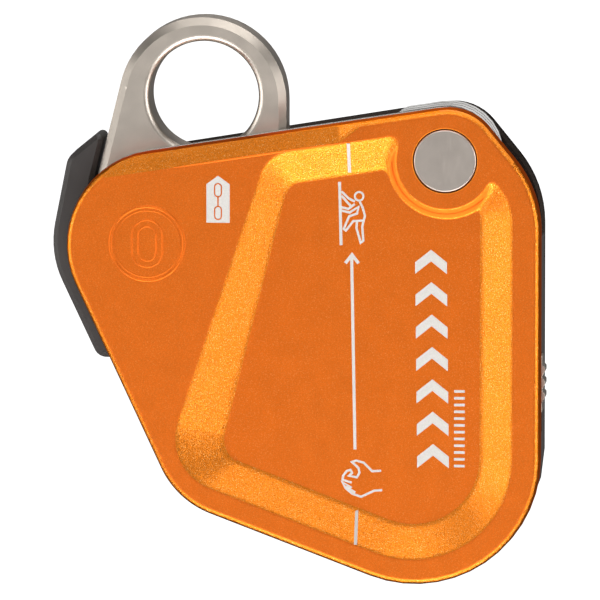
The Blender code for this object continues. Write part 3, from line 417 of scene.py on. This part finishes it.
def join(pieces, name):
    bpy.ops.object.select_all(action="DESELECT")
    for piece in pieces:
        piece.select_set(True)
    bpy.context.view_layer.objects.active = pieces[0]
    bpy.ops.object.join()
    pieces[0].name = name
    pieces[0].data.name = name
    return pieces[0]


def smooth(piece, angle=30):
    """Smooth shading with creases, weighted so that flats stay flat."""
    choose(piece)
    bpy.ops.object.shade_smooth_by_angle(angle=math.radians(angle))
    change(piece, "WEIGHTED_NORMAL", keep_sharp=True, weight=100)


def fit(piece, body, slot, *materials, replaces=()):
    """Gives a finished piece its materials and its body; its slot is not used."""
    choose(piece)
    bpy.ops.object.transform_apply(location=True, rotation=True, scale=True)
    piece.data.materials.clear()
    for finish in materials:
        piece.data.materials.append(finish)
    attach(piece, body)
    if replaces:
        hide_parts(*replaces)
    return piece


def body_of(node):
    bodies = frame["record"]["behaviour"]["bodies"]
    return next(body for body, nodes in bodies.items() if node in nodes)


def slot_of(node):
    return next(p["material_slot"] for p in frame["record"]["subparts"] if p["node"] == node)


def worked(node, finish, edge, segments=2, angle=30):
    """A piece shaped as a CAD node, with its edges broken by a small round."""
    piece = bpy.data.objects.new(node + "_worked", frame["nodes"][node].data.copy())
    bpy.context.scene.collection.objects.link(piece)
    edit(piece)
    bpy.ops.mesh.select_all(action="SELECT")
    bpy.ops.mesh.remove_doubles(threshold=0.002 * MM)
    bpy.ops.mesh.dissolve_limited(angle_limit=math.radians(0.4))
    bpy.ops.mesh.normals_make_consistent(inside=False)
    done(piece)
    if edge:
        change(piece, "BEVEL", width=edge, segments=segments, limit_method="ANGLE",
               angle_limit=math.radians(angle), harden_normals=False)
    smooth(piece)
    return fit(piece, body_of(node), slot_of(node), finish, replaces=(node,))


def round_outside(piece, width, segments, bores):
    """Rounds a flat piece's outer edges and leaves the edges of its bores."""
    mesh = edit(piece)
    bpy.ops.mesh.select_all(action="DESELECT")
    for edge in mesh.edges:
        middle = (edge.verts[0].co + edge.verts[1].co) / 2
        flat = abs(edge.verts[0].co.y - edge.verts[1].co.y) < 0.01 * MM
        near = any((Vector((middle.x, middle.z)) - Vector((bore.x, bore.z))).length < reach
                   for bore, reach in bores)
        edge.select = (flat and not near and len(edge.link_faces) == 2
                       and edge.calc_face_angle() > math.radians(60))
    mesh.select_flush_mode()
    bpy.ops.mesh.bevel(offset=width, segments=segments, clamp_overlap=False)
    done(piece)
    smooth(piece)


# ---------------------------------------------------------------- materials

class Finish:
    """A material whose nodes are added one by one to its Principled shader."""

    def __init__(self, name, colour, metallic, roughness):
        self.material = bpy.data.materials.new(name)
        self.material.use_nodes = True
        self.tree = self.material.node_tree
        self.shader = self.tree.nodes["Principled BSDF"]
        self.set("Base Color", (*colour, 1))
        self.set("Metallic", metallic)
        self.set("Roughness", roughness)
        self.coordinates = self.tree.nodes.new("ShaderNodeTexCoord")
        self.place = self.coordinates.outputs["Object"]

    def set(self, socket, value):
        self.shader.inputs[socket].default_value = value

    def stretch(self, scale):
        mapping = self.tree.nodes.new("ShaderNodeMapping")
        mapping.inputs["Scale"].default_value = scale
        self.tree.links.new(self.coordinates.outputs["Object"], mapping.inputs["Vector"])
        return mapping.outputs["Vector"]

    def noise(self, size, detail=2.0, place=None):
        """Noise whose features are about size across."""
        noise = self.tree.nodes.new("ShaderNodeTexNoise")
        noise.inputs["Scale"].default_value = 1 / size
        noise.inputs["Detail"].default_value = detail
        self.tree.links.new(place or self.place, noise.inputs["Vector"])
        return noise.outputs["Fac"]

    def spread(self, value, low, high, source_low=0.3, source_high=0.7):
        ramp = self.tree.nodes.new("ShaderNodeMapRange")
        ramp.inputs["From Min"].default_value = source_low
        ramp.inputs["From Max"].default_value = source_high
        ramp.inputs["To Min"].default_value = low
        ramp.inputs["To Max"].default_value = high
        self.tree.links.new(value, ramp.inputs["Value"])
        return ramp.outputs["Result"]

    def tint(self, value, first, second):
        mix = self.tree.nodes.new("ShaderNodeMix")
        mix.data_type = "RGBA"
        mix.inputs["A"].default_value = (*first, 1)
        mix.inputs["B"].default_value = (*second, 1)
        self.tree.links.new(value, mix.inputs["Factor"])
        self.tree.links.new(mix.outputs["Result"], self.shader.inputs["Base Color"])
        return mix

    def rough(self, value, low, high):
        self.tree.links.new(self.spread(value, low, high), self.shader.inputs["Roughness"])

    def bump(self, *layers):
        """Each layer is (height, strength, depth)."""
        normal = None
        for height, strength, depth in layers:
            bump = self.tree.nodes.new("ShaderNodeBump")
            bump.inputs["Strength"].default_value = strength
            bump.inputs["Distance"].default_value = depth
            self.tree.links.new(height, bump.inputs["Height"])
            if normal:
                self.tree.links.new(normal, bump.inputs["Normal"])
            normal = bump.outputs["Normal"]
        self.tree.links.new(normal, self.shader.inputs["Normal"])


def scaled(colour, share):
    return tuple(min(channel * share, 1) for channel in colour)


def anodised(name, colour, roughness, grain, grain_strength, mottle=0.05, depth=0.02 * MM,
             painted_glint_colour=None, grazing=(0.30, 0.08, 0.02), metallic=1.0):
    """Dyed aluminium: a fine etched grain under a clear film, with faint mottling, and painted glints where a
    glint colour is given.
    """
    finish = Finish(name, colour, metallic, roughness)
    wide = finish.noise(3.5 * MM, 3)
    fine = finish.noise(grain, 2)
    mix = finish.tint(finish.spread(fine, 0, 1, 0.25, 0.75), scaled(colour, 1 - mottle * 2),
                      scaled(colour, 1 + mottle * 2))
    # Painted glints: light specks in the colour stand in for tiny highlights on the grain.
    if painted_glint_colour:
        glint_specks = finish.spread(finish.noise(grain * 0.8, 1), 0, 1, 0.6, 0.72)
        painted_glint_mix = finish.tint(glint_specks, colour, painted_glint_colour)
        finish.tree.links.new(mix.outputs["Result"], painted_glint_mix.inputs["A"])
    finish.rough(wide, roughness - 0.03, roughness + 0.03)
    # Keeps dyed metal from turning white at a grazing angle
    finish.set("Specular Tint", (*grazing, 1))
    finish.bump((wide, 0.05, 0.02 * MM), (fine, grain_strength, depth))
    return finish.material


def brushed(name, colour, roughness, stretch, strength=0.25, line=0.12 * MM):
    """Steel or alloy with fine lines drawn out along one direction."""
    finish = Finish(name, colour, 1.0, roughness)
    lines = finish.noise(line, 3, finish.stretch(stretch))
    cloud = finish.noise(4 * MM, 3)
    finish.tint(finish.spread(cloud, 0, 1), scaled(colour, 0.93), scaled(colour, 1.05))
    finish.rough(lines, roughness - 0.05, roughness + 0.07)
    finish.bump((lines, strength, 0.01 * MM))
    return finish.material


def satin(name, colour, roughness, grain=0.16 * MM, strength=0.3, metallic=1.0):
    """Metal or moulding with an even, very fine grain."""
    finish = Finish(name, colour, metallic, roughness)
    fine = finish.noise(grain, 2)
    cloud = finish.noise(5 * MM, 4)
    finish.tint(finish.spread(cloud, 0, 1), scaled(colour, 0.92), scaled(colour, 1.07))
    finish.rough(cloud, roughness - 0.04, roughness + 0.04)
    finish.bump((fine, strength, 0.015 * MM))
    return finish.material


def printed(name, colour):
    """Matt printing ink, slightly speckled by the metal's grain."""
    finish = Finish(name, colour, 0.0, 0.55)
    fine = finish.noise(0.2 * MM, 2)
    finish.tint(finish.spread(fine, 0, 1), scaled(colour, 0.9), scaled(colour, 1.04))
    finish.bump((fine, 0.2, 0.01 * MM))
    return finish.material


orange = anodised("orange_anodised", (0.92, 0.193, 0.0195), 0.40, 0.22 * MM, 0.45, 0.05,
                  painted_glint_colour=(1.0, 0.29, 0.06))
orange_blasted = anodised("orange_blasted", (0.91, 0.222, 0.017), 0.34, 0.21 * MM, 1.0, 0.14,
                          depth=0.08 * MM, painted_glint_colour=(1.0, 0.55, 0.16))
# Painted shading: a less metallic copy of the same orange for the steep side of the boss, which paints in that
# side's shading.
orange_boss_painted_shading = anodised("orange_boss_painted_shading", (0.80, 0.23, 0.022), 0.42, 0.21 * MM, 0.8, 0.08,
                       metallic=0.35)
black = anodised("black_anodised", (0.035, 0.028, 0.024), 0.42, 0.2 * MM, 0.25,
                 grazing=(0.25, 0.24, 0.23))
moulded = satin("dark_moulding", (0.030, 0.026, 0.024), 0.42, 0.3 * MM, 0.5, metallic=0.0)
alloy = satin("satin_alloy", (0.61, 0.545, 0.475), 0.36, 0.2 * MM, 0.5)
steel = brushed("brushed_steel", (0.60, 0.57, 0.53), 0.28, (1, 1, 0.06))
rivet_face = brushed("rivet_face", (0.545, 0.483, 0.43), 0.36, (1, 1, 0.12), 0.2, 0.2 * MM)
# Painted highlight: a near-white, only partly metallic steel for the brake plates, brighter than real steel, that
# paints in their bright reflections.
painted_highlight_steel = satin("painted_highlight_steel", (0.90, 0.885, 0.86), 0.30, 0.2 * MM, 0.3, metallic=0.35)
# Painted shade: a dark steel for the part of each brake plate's round that faces forwards.
painted_shade_steel = satin("painted_shade_steel", (0.10, 0.092, 0.086), 0.45, 0.2 * MM, 0.3)
bronze = satin("bearing_bronze", (0.45, 0.28, 0.12), 0.35)
ink = printed("pale_ink", (0.42, 0.40, 0.375))


# ---------------------------------------------------------------- swinging front plate

def front_cover():
    """The orange plate: rounded edge, facet along the top, recessed panel and rivet seat."""
    outside = []
    for step in range(SOFT_STEPS + 1):
        angle = math.pi / 2 * step / SOFT_STEPS
        outside.append((WALL_DRAFT + EDGE_FILLET_WIDTH * (1 - math.cos(angle)),
                        EDGE_FILLET_DEPTH * (1 - math.sin(angle))))
    sections = [(plate_outline(BACK_EDGE_ROUND), BACK_Y),
                (plate_outline(0), BACK_Y - BACK_EDGE_ROUND)]
    sections += [(plate_outline(into), FRONT_Y + back) for into, back in outside]
    plate = skin("front_cover", sections)
    facet = facet_wedge()
    recess = skin("recess", [(panel_outline(share, deep), FRONT_Y + deep * PANEL_DEPTH)
                             for share, deep in panel_profile()], cap_first=False)
    open_mouth(recess)
    seat = rivet_seat()
    for cutter in (facet, recess, seat):
        cut(plate, cutter)
    return plate


def open_mouth(recess):
    """Draws the recess's open rim straight out in front of the plate and closes it."""
    mesh = edit(recess)
    for vert in mesh.verts:
        vert.select = vert.co.y < FRONT_Y + 0.0001 * MM
    mesh.select_flush_mode()
    bpy.ops.mesh.select_mode(type="EDGE")
    bpy.ops.mesh.extrude_edges_move(TRANSFORM_OT_translate={"value": (0, -1 * MM, 0)})
    bpy.ops.mesh.edge_face_add()
    close(recess)


def facet_wedge():
    """Cutter that slopes the front face back along the top edge and fades out towards the boss."""
    begin, end = moved_edge(0, 0)
    up = left_of(begin, end)
    step = (end - begin).normalized()
    rings = []
    for x, share in ((begin.x - 5 * MM, 1), (FACET_FADE, 1), (FACET_END, 0)):
        middle = begin + step * ((x - begin.x) / step.x)
        crease = middle - up * FACET_WIDTH
        brim = middle + up * MM
        drop = FACET_DROP * share * (1 + MM / FACET_WIDTH)
        rings.append((crease, brim, drop))
    wedge = start("facet", bpy.ops.mesh.primitive_cube_add, size=MM)
    mesh = edit(wedge)
    bpy.ops.mesh.select_all(action="SELECT")
    bpy.ops.mesh.delete(type="VERT")
    mesh = bmesh.from_edit_mesh(wedge.data)
    quads = []
    for crease, brim, drop in rings:
        quads.append([
            mesh.verts.new((crease.x, FRONT_Y - MM, crease.y)),
            mesh.verts.new((crease.x, FRONT_Y, crease.y)),
            mesh.verts.new((brim.x, FRONT_Y + drop, brim.y)),
            mesh.verts.new((brim.x, FRONT_Y - MM, brim.y)),
        ])
    for quad, following in zip(quads, quads[1:]):
        for i in range(4):
            j = (i + 1) % 4
            mesh.faces.new((quad[i], quad[j], following[j], following[i]))
    mesh.faces.new(quads[0])
    mesh.faces.new(quads[-1][::-1])
    close(wedge)
    return wedge


def rivet_seat():
    """Cutter for the counterbore round the main rivet's head and the hole behind it."""
    washer_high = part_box("rivet_washer")[1]
    bush_low, bush_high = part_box("rivet_bush")
    swing_hole = (bush_high.x - bush_low.x) / 2 + SWING_CLEARANCE
    shelf = washer_high.y + WASHER_CLEARANCE
    profile = [
        (RIVET_SEAT + RIVET_SEAT_CHAMFER + MM, FRONT_Y - MM),
        (RIVET_SEAT + RIVET_SEAT_CHAMFER, FRONT_Y),
        (RIVET_SEAT, FRONT_Y + RIVET_SEAT_CHAMFER),
        (RIVET_SEAT, shelf),
        (swing_hole, shelf),
        (swing_hole, BACK_Y + MM),
    ]
    return skin("seat", [(circle(PIVOT, radius), y) for radius, y in profile])


def blasted_faces(plate):
    """Gives the sloping sides and the facet a coarser grain, and the steep side of the boss a less metallic copy
    of the orange that paints in its shading.
    """
    crease_start, crease_end = moved_edge(0, FACET_WIDTH)
    up = left_of(crease_start, crease_end)
    for face in plate.data.polygons:
        middle = face.center
        flat_front = abs(middle.y - FRONT_Y) < 0.03 * MM
        on_floor = abs(middle.y - PANEL_FLOOR_Y) < 0.03 * MM
        inside_panel = FRONT_Y < middle.y < PANEL_FLOOR_Y and -0.99 < face.normal.y < -0.4
        above = (Vector((middle.x, middle.z)) - crease_start).dot(up) > 0
        if not flat_front and not on_floor and (inside_panel or above and face.normal.y < -0.3):
            face.material_index = 1
            from_boss = (Vector((middle.x, middle.z)) - PIVOT).length
            # Painted shading: the steep side of the boss takes the less metallic copy of the orange.
            if inside_panel and from_boss < BOSS_RADIUS + BOSS_BEVEL and face.normal.y > -0.85:
                face.material_index = 2


cover = front_cover()
smooth(cover, 40)
fit(cover, "swing_plate", "orange_anodised", orange, orange_blasted, orange_boss_painted_shading,
    replaces=("front_plate",))
blasted_faces(cover)


# ---------------------------------------------------------------- marks on the front plate

def stroke_outline(points, width):
    """Outline of a line drawn through points with mitred turns and square ends."""
    path = [Vector((x * MM, z * MM)) for x, z in points]
    left, right = [], []
    for i, point in enumerate(path):
        before = left_of(path[i - 1], point) if i else None
        after = left_of(point, path[i + 1]) if i < len(path) - 1 else None
        normal = ((before or after) + (after or before)).normalized()
        reach = width / 2 / max(normal.dot(before or after), 0.5)
        left.append(point + normal * reach)
        right.append(point - normal * reach)
    return left + right[::-1]


def flat_mark(name, shapes, surface_y):
    """Thin printed shapes, each an outline or a pair of outer and inner outlines."""
    pieces = []
    for number, shape in enumerate(shapes):
        front = surface_y - INK_HEIGHT - INK_STEP * number
        back = surface_y + INK_SINK
        if isinstance(shape, tuple):
            outer, inner = shape
            sections = [(outer, back), (outer, front), (inner, front), (inner, back)]
            pieces.append(skin(name, sections, endless=True))
        else:
            pieces.append(skin(name, [(shape, back), (shape, front)]))
    mark = join(pieces, name)
    return fit(mark, "swing_plate", "orange_anodised", ink)


def points_mm(*points):
    return [Vector((x * MM, z * MM)) for x, z in points]


def link_outline(x, top, foot, half_width):
    """A chain link's outline: two straight sides and two round ends."""
    radius = half_width * MM
    upper = Vector((x * MM, top * MM - radius))
    lower = Vector((x * MM, foot * MM + radius))
    return arc(upper, radius, math.pi, -math.pi, 8) + arc(lower, radius, 0, -math.pi, 8)


def bar_on_bevel(name, x, edge, shares, width):
    """A printed line that runs down the panel's sloping side at x."""
    ends = []
    for share in shares:
        start_point, end_point = moved_edge(edge[0], edge[1] + PANEL_BEVEL * share)
        step = (end_point - start_point).normalized()
        point = start_point + step * ((x * MM - start_point.x) / step.x)
        ends.append((point, FRONT_Y + PANEL_DEPTH * share))
    bar = start(name, bpy.ops.mesh.primitive_cube_add, size=MM)
    mesh = edit(bar)
    for vert in mesh.verts:
        point, y = ends[0] if vert.co.z > 0 else ends[1]
        side = width / 2 if vert.co.x > 0 else -width / 2
        lift = -2 * INK_HEIGHT if vert.co.y < 0 else 4 * INK_SINK
        vert.co = (point.x + side, y + lift, point.y)
    done(bar)
    return fit(bar, "swing_plate", "orange_anodised", ink)


def marks():
    # Anchor side: a tag with two joined links
    tag = points_mm((3.3, -14.4), (5.5, -16.0), (5.5, -23.3), (1.1, -23.3), (1.1, -16.0))
    flat_mark("anchor_tag", [tag], FRONT_Y)
    links = []
    for top, foot in ((-15.8, -18.5), (-20.1, -22.8)):
        links.append((link_outline(3.3, top, foot, 0.75),
                      link_outline(3.3, top - LINK_LINE, foot + LINK_LINE, 0.75 - LINK_LINE)))
    links.append(stroke_outline([(3.3, -18.4), (3.3, -20.2)], 0.25 * MM))
    chain = flat_mark("anchor_tag_links", links, FRONT_Y - INK_HEIGHT)
    chain.data.materials.clear()
    chain.data.materials.append(orange)

    # The rope's way up: line, climber at a wall, arrow, hand, line
    bar_on_bevel("rope_line_top", 27.9, (0, RIM_TOP), (0.0, 0.97), 0.6 * MM)
    bar_on_bevel("rope_line_foot", 29.3, (3, RIM_BOTTOM), (0.97, 0.0), 0.6 * MM)
    climber = [
        stroke_outline([(26.0, -15.7), (26.3, -27.7)], 0.55 * MM),
        (circle(Vector((29.7 * MM, -18.4 * MM)), 1.0 * MM, 24),
         circle(Vector((29.7 * MM, -18.4 * MM)), 0.62 * MM, 24)),
        stroke_outline([(26.4, -17.5), (27.7, -18.8), (28.9, -19.4)], MARK_LINE),
        stroke_outline([(26.4, -18.3), (27.5, -19.6), (28.2, -20.3), (28.9, -19.9)], MARK_LINE),
        stroke_outline([(26.3, -20.5), (27.7, -20.8), (28.3, -20.3)], MARK_LINE),
        stroke_outline([(26.3, -21.1), (27.9, -21.5), (29.6, -20.4), (29.3, -21.7), (27.8, -22.2),
                        (26.8, -24.6), (27.2, -24.9), (28.6, -23.1), (30.5, -23.0)], MARK_LINE),
        stroke_outline([(29.8, -19.4), (30.4, -20.6), (30.8, -22.1), (30.5, -23.2), (30.3, -24.1),
                        (30.5, -26.8), (30.0, -27.2), (29.2, -24.4), (29.3, -23.2)], MARK_LINE),
    ]
    flat_mark("climber_mark", climber, PANEL_FLOOR_Y)
    arrow = [
        stroke_outline([(28.3, -29.9), (28.95, -66.5)], 0.57 * MM),
        stroke_outline([(27.1, -31.1), (28.35, -29.5), (29.6, -31.1)], 0.6 * MM),
    ]
    flat_mark("rope_arrow", arrow, PANEL_FLOOR_Y)
    hand = [
        stroke_outline([(33.9, -70.5), (32.2, -70.6), (30.6, -69.0), (29.2, -68.6), (28.4, -68.9),
                        (29.6, -70.0), (29.8, -70.9), (29.3, -71.8), (27.8, -71.5), (28.4, -71.0),
                        (28.1, -70.4), (27.4, -70.6), (26.7, -71.5), (26.6, -72.3), (28.3, -72.8)],
                       MARK_LINE),
        stroke_outline([(28.3, -73.8), (26.5, -72.7), (27.2, -73.9), (28.4, -74.9), (30.1, -75.5),
                        (32.6, -74.3), (34.1, -74.2)], MARK_LINE),
        stroke_outline([(27.2, -73.6), (29.0, -74.7)], MARK_LINE),
    ]
    flat_mark("hand_mark", hand, PANEL_FLOOR_Y)

    # Generic graphics: a column of chevrons and a short column of ticks
    chevrons = []
    for number in range(CHEVRONS):
        top = CHEVRON_TOP - CHEVRON_PITCH * number
        lean = CHEVRON_LEAN * number
        left, right = 40.3 + lean, 46.3 + lean
        middle = (left + right) / 2
        chevrons.append(points_mm(
            (left, top - 2.4), (middle, top), (right, top - 2.4), (right, top - 4.6),
            (middle, top - 2.2), (left, top - 4.6)))
    flat_mark("chevrons", chevrons, PANEL_FLOOR_Y)
    ticks = []
    for number in range(TICKS):
        top = TICK_TOP - TICK_PITCH * number
        foot = top - TICK_HEIGHT
        ticks.append(points_mm((47.7, top), (49.7, top), (49.7, foot), (47.7, foot)))
    flat_mark("ticks", ticks, PANEL_FLOOR_Y)


def bead(name, outline, half_width, height):
    """A low rounded line raised along a closed outline given as a function of its offset."""
    sections = []
    for step in range(BEAD_STEPS + 1):
        angle = math.pi * step / BEAD_STEPS
        sink = INK_SINK * (step in (0, BEAD_STEPS))
        sections.append((outline(-half_width * math.cos(angle)),
                         FRONT_Y - height * math.sin(angle) + sink))
    return skin(name, sections, endless=True)


def badge():
    """A plain raised ring with one plain link inside."""
    x, z = BADGE_CENTRE
    centre = Vector((x * MM, z * MM))
    rings = [bead("badge", lambda out: circle(centre, 7.0 * MM + out), 0.28 * MM, 0.11 * MM),
             bead("badge", lambda out: circle(centre, 6.3 * MM + out), 0.16 * MM, 0.05 * MM)]
    for radius in (2.9, 1.7):
        rings.append(bead("badge", lambda out, radius=radius: link_outline(
            x, z + radius + 1.6 + out / MM, z - radius - 1.6 - out / MM, radius + out / MM),
            0.16 * MM, 0.08 * MM))
    piece = join(rings, "badge")
    smooth(piece, 50)
    fit(piece, "swing_plate", "orange_anodised", orange)


def crease_line():
    """The raised line where the facet along the top edge meets the front face."""
    start_point, end_point = moved_edge(0, FACET_WIDTH)
    up = left_of(start_point, end_point)
    step = (end_point - start_point).normalized()
    rings = []
    for number in range(CREASE_STEPS + 1):
        share = number / CREASE_STEPS
        x = CREASE_START + CREASE_LENGTH * share
        middle = start_point + step * ((x - start_point.x) / step.x)
        size = math.sin(math.pi * min(max(share, 0.001), 0.999)) ** 0.4
        half, tall = 0.22 * MM * size, 0.10 * MM * size
        profile = ((-half, 0.05 * MM), (-half * 0.6, -tall * 0.8), (0, -tall),
                   (half * 0.6, -tall * 0.7), (half, 0.12 * MM))
        places = []
        for across, lift in profile:
            point = middle + up * across
            places.append((point.x, FRONT_Y + lift, point.y))
        rings.append(places)
    count = len(rings[0])
    line = start("crease_line", bpy.ops.mesh.primitive_circle_add, vertices=count, radius=MM)
    mesh, firsts = lay_rings(line, rings)
    for pair in zip(firsts, firsts[1:]):
        mesh = bridge(line, mesh, pair, count)
    for first in (firsts[0], firsts[-1]):
        mesh = cap(line, mesh, first, count)
    close(line)
    smooth(line, 60)
    fit(line, "swing_plate", "orange_anodised", orange)


marks()
badge()
crease_line()


# ---------------------------------------------------------------- pieces with a CAD shape

def eye_rim():
    """Cutter that gives the eye's hole a smooth bore and fully rounded rims."""
    rings = [(EYE_BORE + EYE_RIM_ROUND, arm_low.y - MM)]
    for step in range(EYE_STEPS + 1):
        angle = math.pi / 2 * step / EYE_STEPS
        rings.append((EYE_BORE + EYE_RIM_ROUND * (1 - math.sin(angle)),
                      arm_low.y + EYE_RIM_ROUND * (1 - math.cos(angle))))
    middle = (arm_low.y + arm_high.y) / 2
    rings += [(radius, 2 * middle - y) for radius, y in rings[::-1]]
    return skin("eye_rim", [(circle(Vector((0, 0)), radius, EYE_SIDES), y)
                            for radius, y in rings])


worked("front_liner", steel, 0.15 * MM)
eye_arm = worked("anchor_arm", alloy, 0.12 * MM, 3)
cut(eye_arm, eye_rim())
smooth(eye_arm, 25)
worked("arm_guard", moulded, 0.35 * MM, 3)
worked("back_plate", black, 0.25 * MM, 3)
worked("main_rivet", rivet_face, 0.12 * MM, 3)
worked("lower_guide", moulded, 0.2 * MM)
worked("side_spacer", moulded, 0.2 * MM)
worked("wear_plate", steel, 0.1 * MM)
worked("brake_shoe", steel, 0.2 * MM)
worked("latch_slider", alloy, 0.18 * MM, 3)
stack_low, stack_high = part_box("brake_plate_1")
stack_round = min(1.3 * MM, (stack_high.y - stack_low.y) * 0.45)
stack_bores = []
for node in ("main_rivet", "brake_dowel"):
    bore_low, bore_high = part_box(node)
    stack_bores.append(((bore_low + bore_high) / 2,
                        (bore_high.x - bore_low.x) / 2 + STACK_BORE_MARGIN))
for number in (1, 2, 3):
    brake_plate = worked(f"brake_plate_{number}", painted_highlight_steel, 0)
    brake_plate.data.materials.append(painted_shade_steel)
    round_outside(brake_plate, stack_round, STACK_STEPS, stack_bores)
    # Painted shade: the forward-facing part of each round takes the dark steel, the rest the painted highlight
    # steel.
    for face in brake_plate.data.polygons:
        face.material_index = int(PAINTED_SHADE_SLOPE < abs(face.normal.y) < FLAT_FACE)
    worked(f"liner_rivet_{number}", steel, 0.12 * MM)
for number in range(1, 6):
    worked(f"frame_screw_{number}", steel, 0.15 * MM)
for node in ("stop_pin", "brake_dowel", "inlet_bar_left", "inlet_bar_right", "shoe_pin_1",
             "shoe_pin_2", "arm_pin"):
    worked(node, steel, 0.15 * MM)
for node in ("arm_bush", "rivet_bush", "arm_washer", "rivet_washer"):
    worked(node, bronze, 0.1 * MM)
worked("arm_spring", steel, 0)
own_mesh(worked("latch_spring", steel, 0))


# ---------------------------------------------------------------- stage

CENTRE_OF_VIEW = Vector((18.24 * MM, -3.9 * MM, -38.57 * MM))
AZIMUTH = math.radians(4.75)
ELEVATION = math.radians(6.6)
DISTANCE = 2.0
VIEW_WIDTH = 0.1134
SENSOR = 36
FLOOR_Z = -0.8
FLOOR_SIZE = 60
FLOOR_GLOW = 1.1
ROOM_GLOW = 0.12


def aim(thing, target):
    thing.rotation_mode = "QUATERNION"
    thing.rotation_quaternion = (target - thing.location).to_track_quat("-Z", "Y")


def camera():
    back = Vector((math.sin(AZIMUTH) * math.cos(ELEVATION),
                   -math.cos(AZIMUTH) * math.cos(ELEVATION), math.sin(ELEVATION)))
    data = bpy.data.cameras.new("camera")
    data.sensor_width = SENSOR
    data.lens = SENSOR * DISTANCE / VIEW_WIDTH
    viewer = bpy.data.objects.new("camera", data)
    bpy.context.scene.collection.objects.link(viewer)
    viewer.location = CENTRE_OF_VIEW + back * DISTANCE
    aim(viewer, CENTRE_OF_VIEW)
    bpy.context.scene.camera = viewer


def softbox(name, place, size, radiance):
    data = bpy.data.lights.new(name, "AREA")
    data.shape = "RECTANGLE"
    data.size = size[0]
    data.size_y = size[1]
    data.energy = radiance * math.pi * size[0] * size[1]
    light = bpy.data.objects.new(name, data)
    bpy.context.scene.collection.objects.link(light)
    light.location = place
    aim(light, CENTRE_OF_VIEW)
    light.visible_camera = False


def floor():
    ground = start("floor", bpy.ops.mesh.primitive_plane_add, size=FLOOR_SIZE,
                   location=(0, 0, FLOOR_Z))
    paper = Finish("pale_floor", (0.9, 0.9, 0.9), 0.0, 0.9)
    paper.set("Emission Color", (1, 1, 1, 1))
    paper.set("Emission Strength", FLOOR_GLOW)
    ground.data.materials.append(paper.material)
    ground.visible_glossy = False


def surroundings():
    """Even white behind the object, and a dim grey room for what it reflects."""
    world = bpy.data.worlds.new("room")
    bpy.context.scene.world = world
    world.use_nodes = True
    tree = world.node_tree
    tree.nodes.clear()
    output = tree.nodes.new("ShaderNodeOutputWorld")
    mix = tree.nodes.new("ShaderNodeMixShader")
    path = tree.nodes.new("ShaderNodeLightPath")
    room = tree.nodes.new("ShaderNodeBackground")
    seen = tree.nodes.new("ShaderNodeBackground")
    room.inputs["Color"].default_value = (1, 1, 1, 1)
    room.inputs["Strength"].default_value = ROOM_GLOW
    seen.inputs["Color"].default_value = (1, 1, 1, 1)
    seen.inputs["Strength"].default_value = 1.0
    tree.links.new(path.outputs["Is Camera Ray"], mix.inputs["Fac"])
    tree.links.new(room.outputs["Background"], mix.inputs[1])
    tree.links.new(seen.outputs["Background"], mix.inputs[2])
    tree.links.new(mix.outputs["Shader"], output.inputs["Surface"])


bpy.context.scene.view_settings.view_transform = "Standard"
camera()
floor()
surroundings()
softbox("front_fill", (-0.25, -3.2, 0.0), (3.0, 3.6), 0.515)
softbox("left_box", (-1.3, -0.55, -0.05), (1.1, 1.3), 2.7)
softbox("right_box", (1.3, -0.62, -0.05), (0.6, 1.3), 4.4)
softbox("low_box", (0.05, -0.6, -0.75), (1.2, 0.5), 5.2)
softbox("top_box", (0.0, -0.75, 0.95), (1.3, 0.6), 2.6)
softbox("overhead_box", (0.0, -0.1, 1.25), (1.3, 0.8), 0.9)
softbox("rim_box", (0.3, 0.48, 1.15), (1.8, 0.6), 3.2)
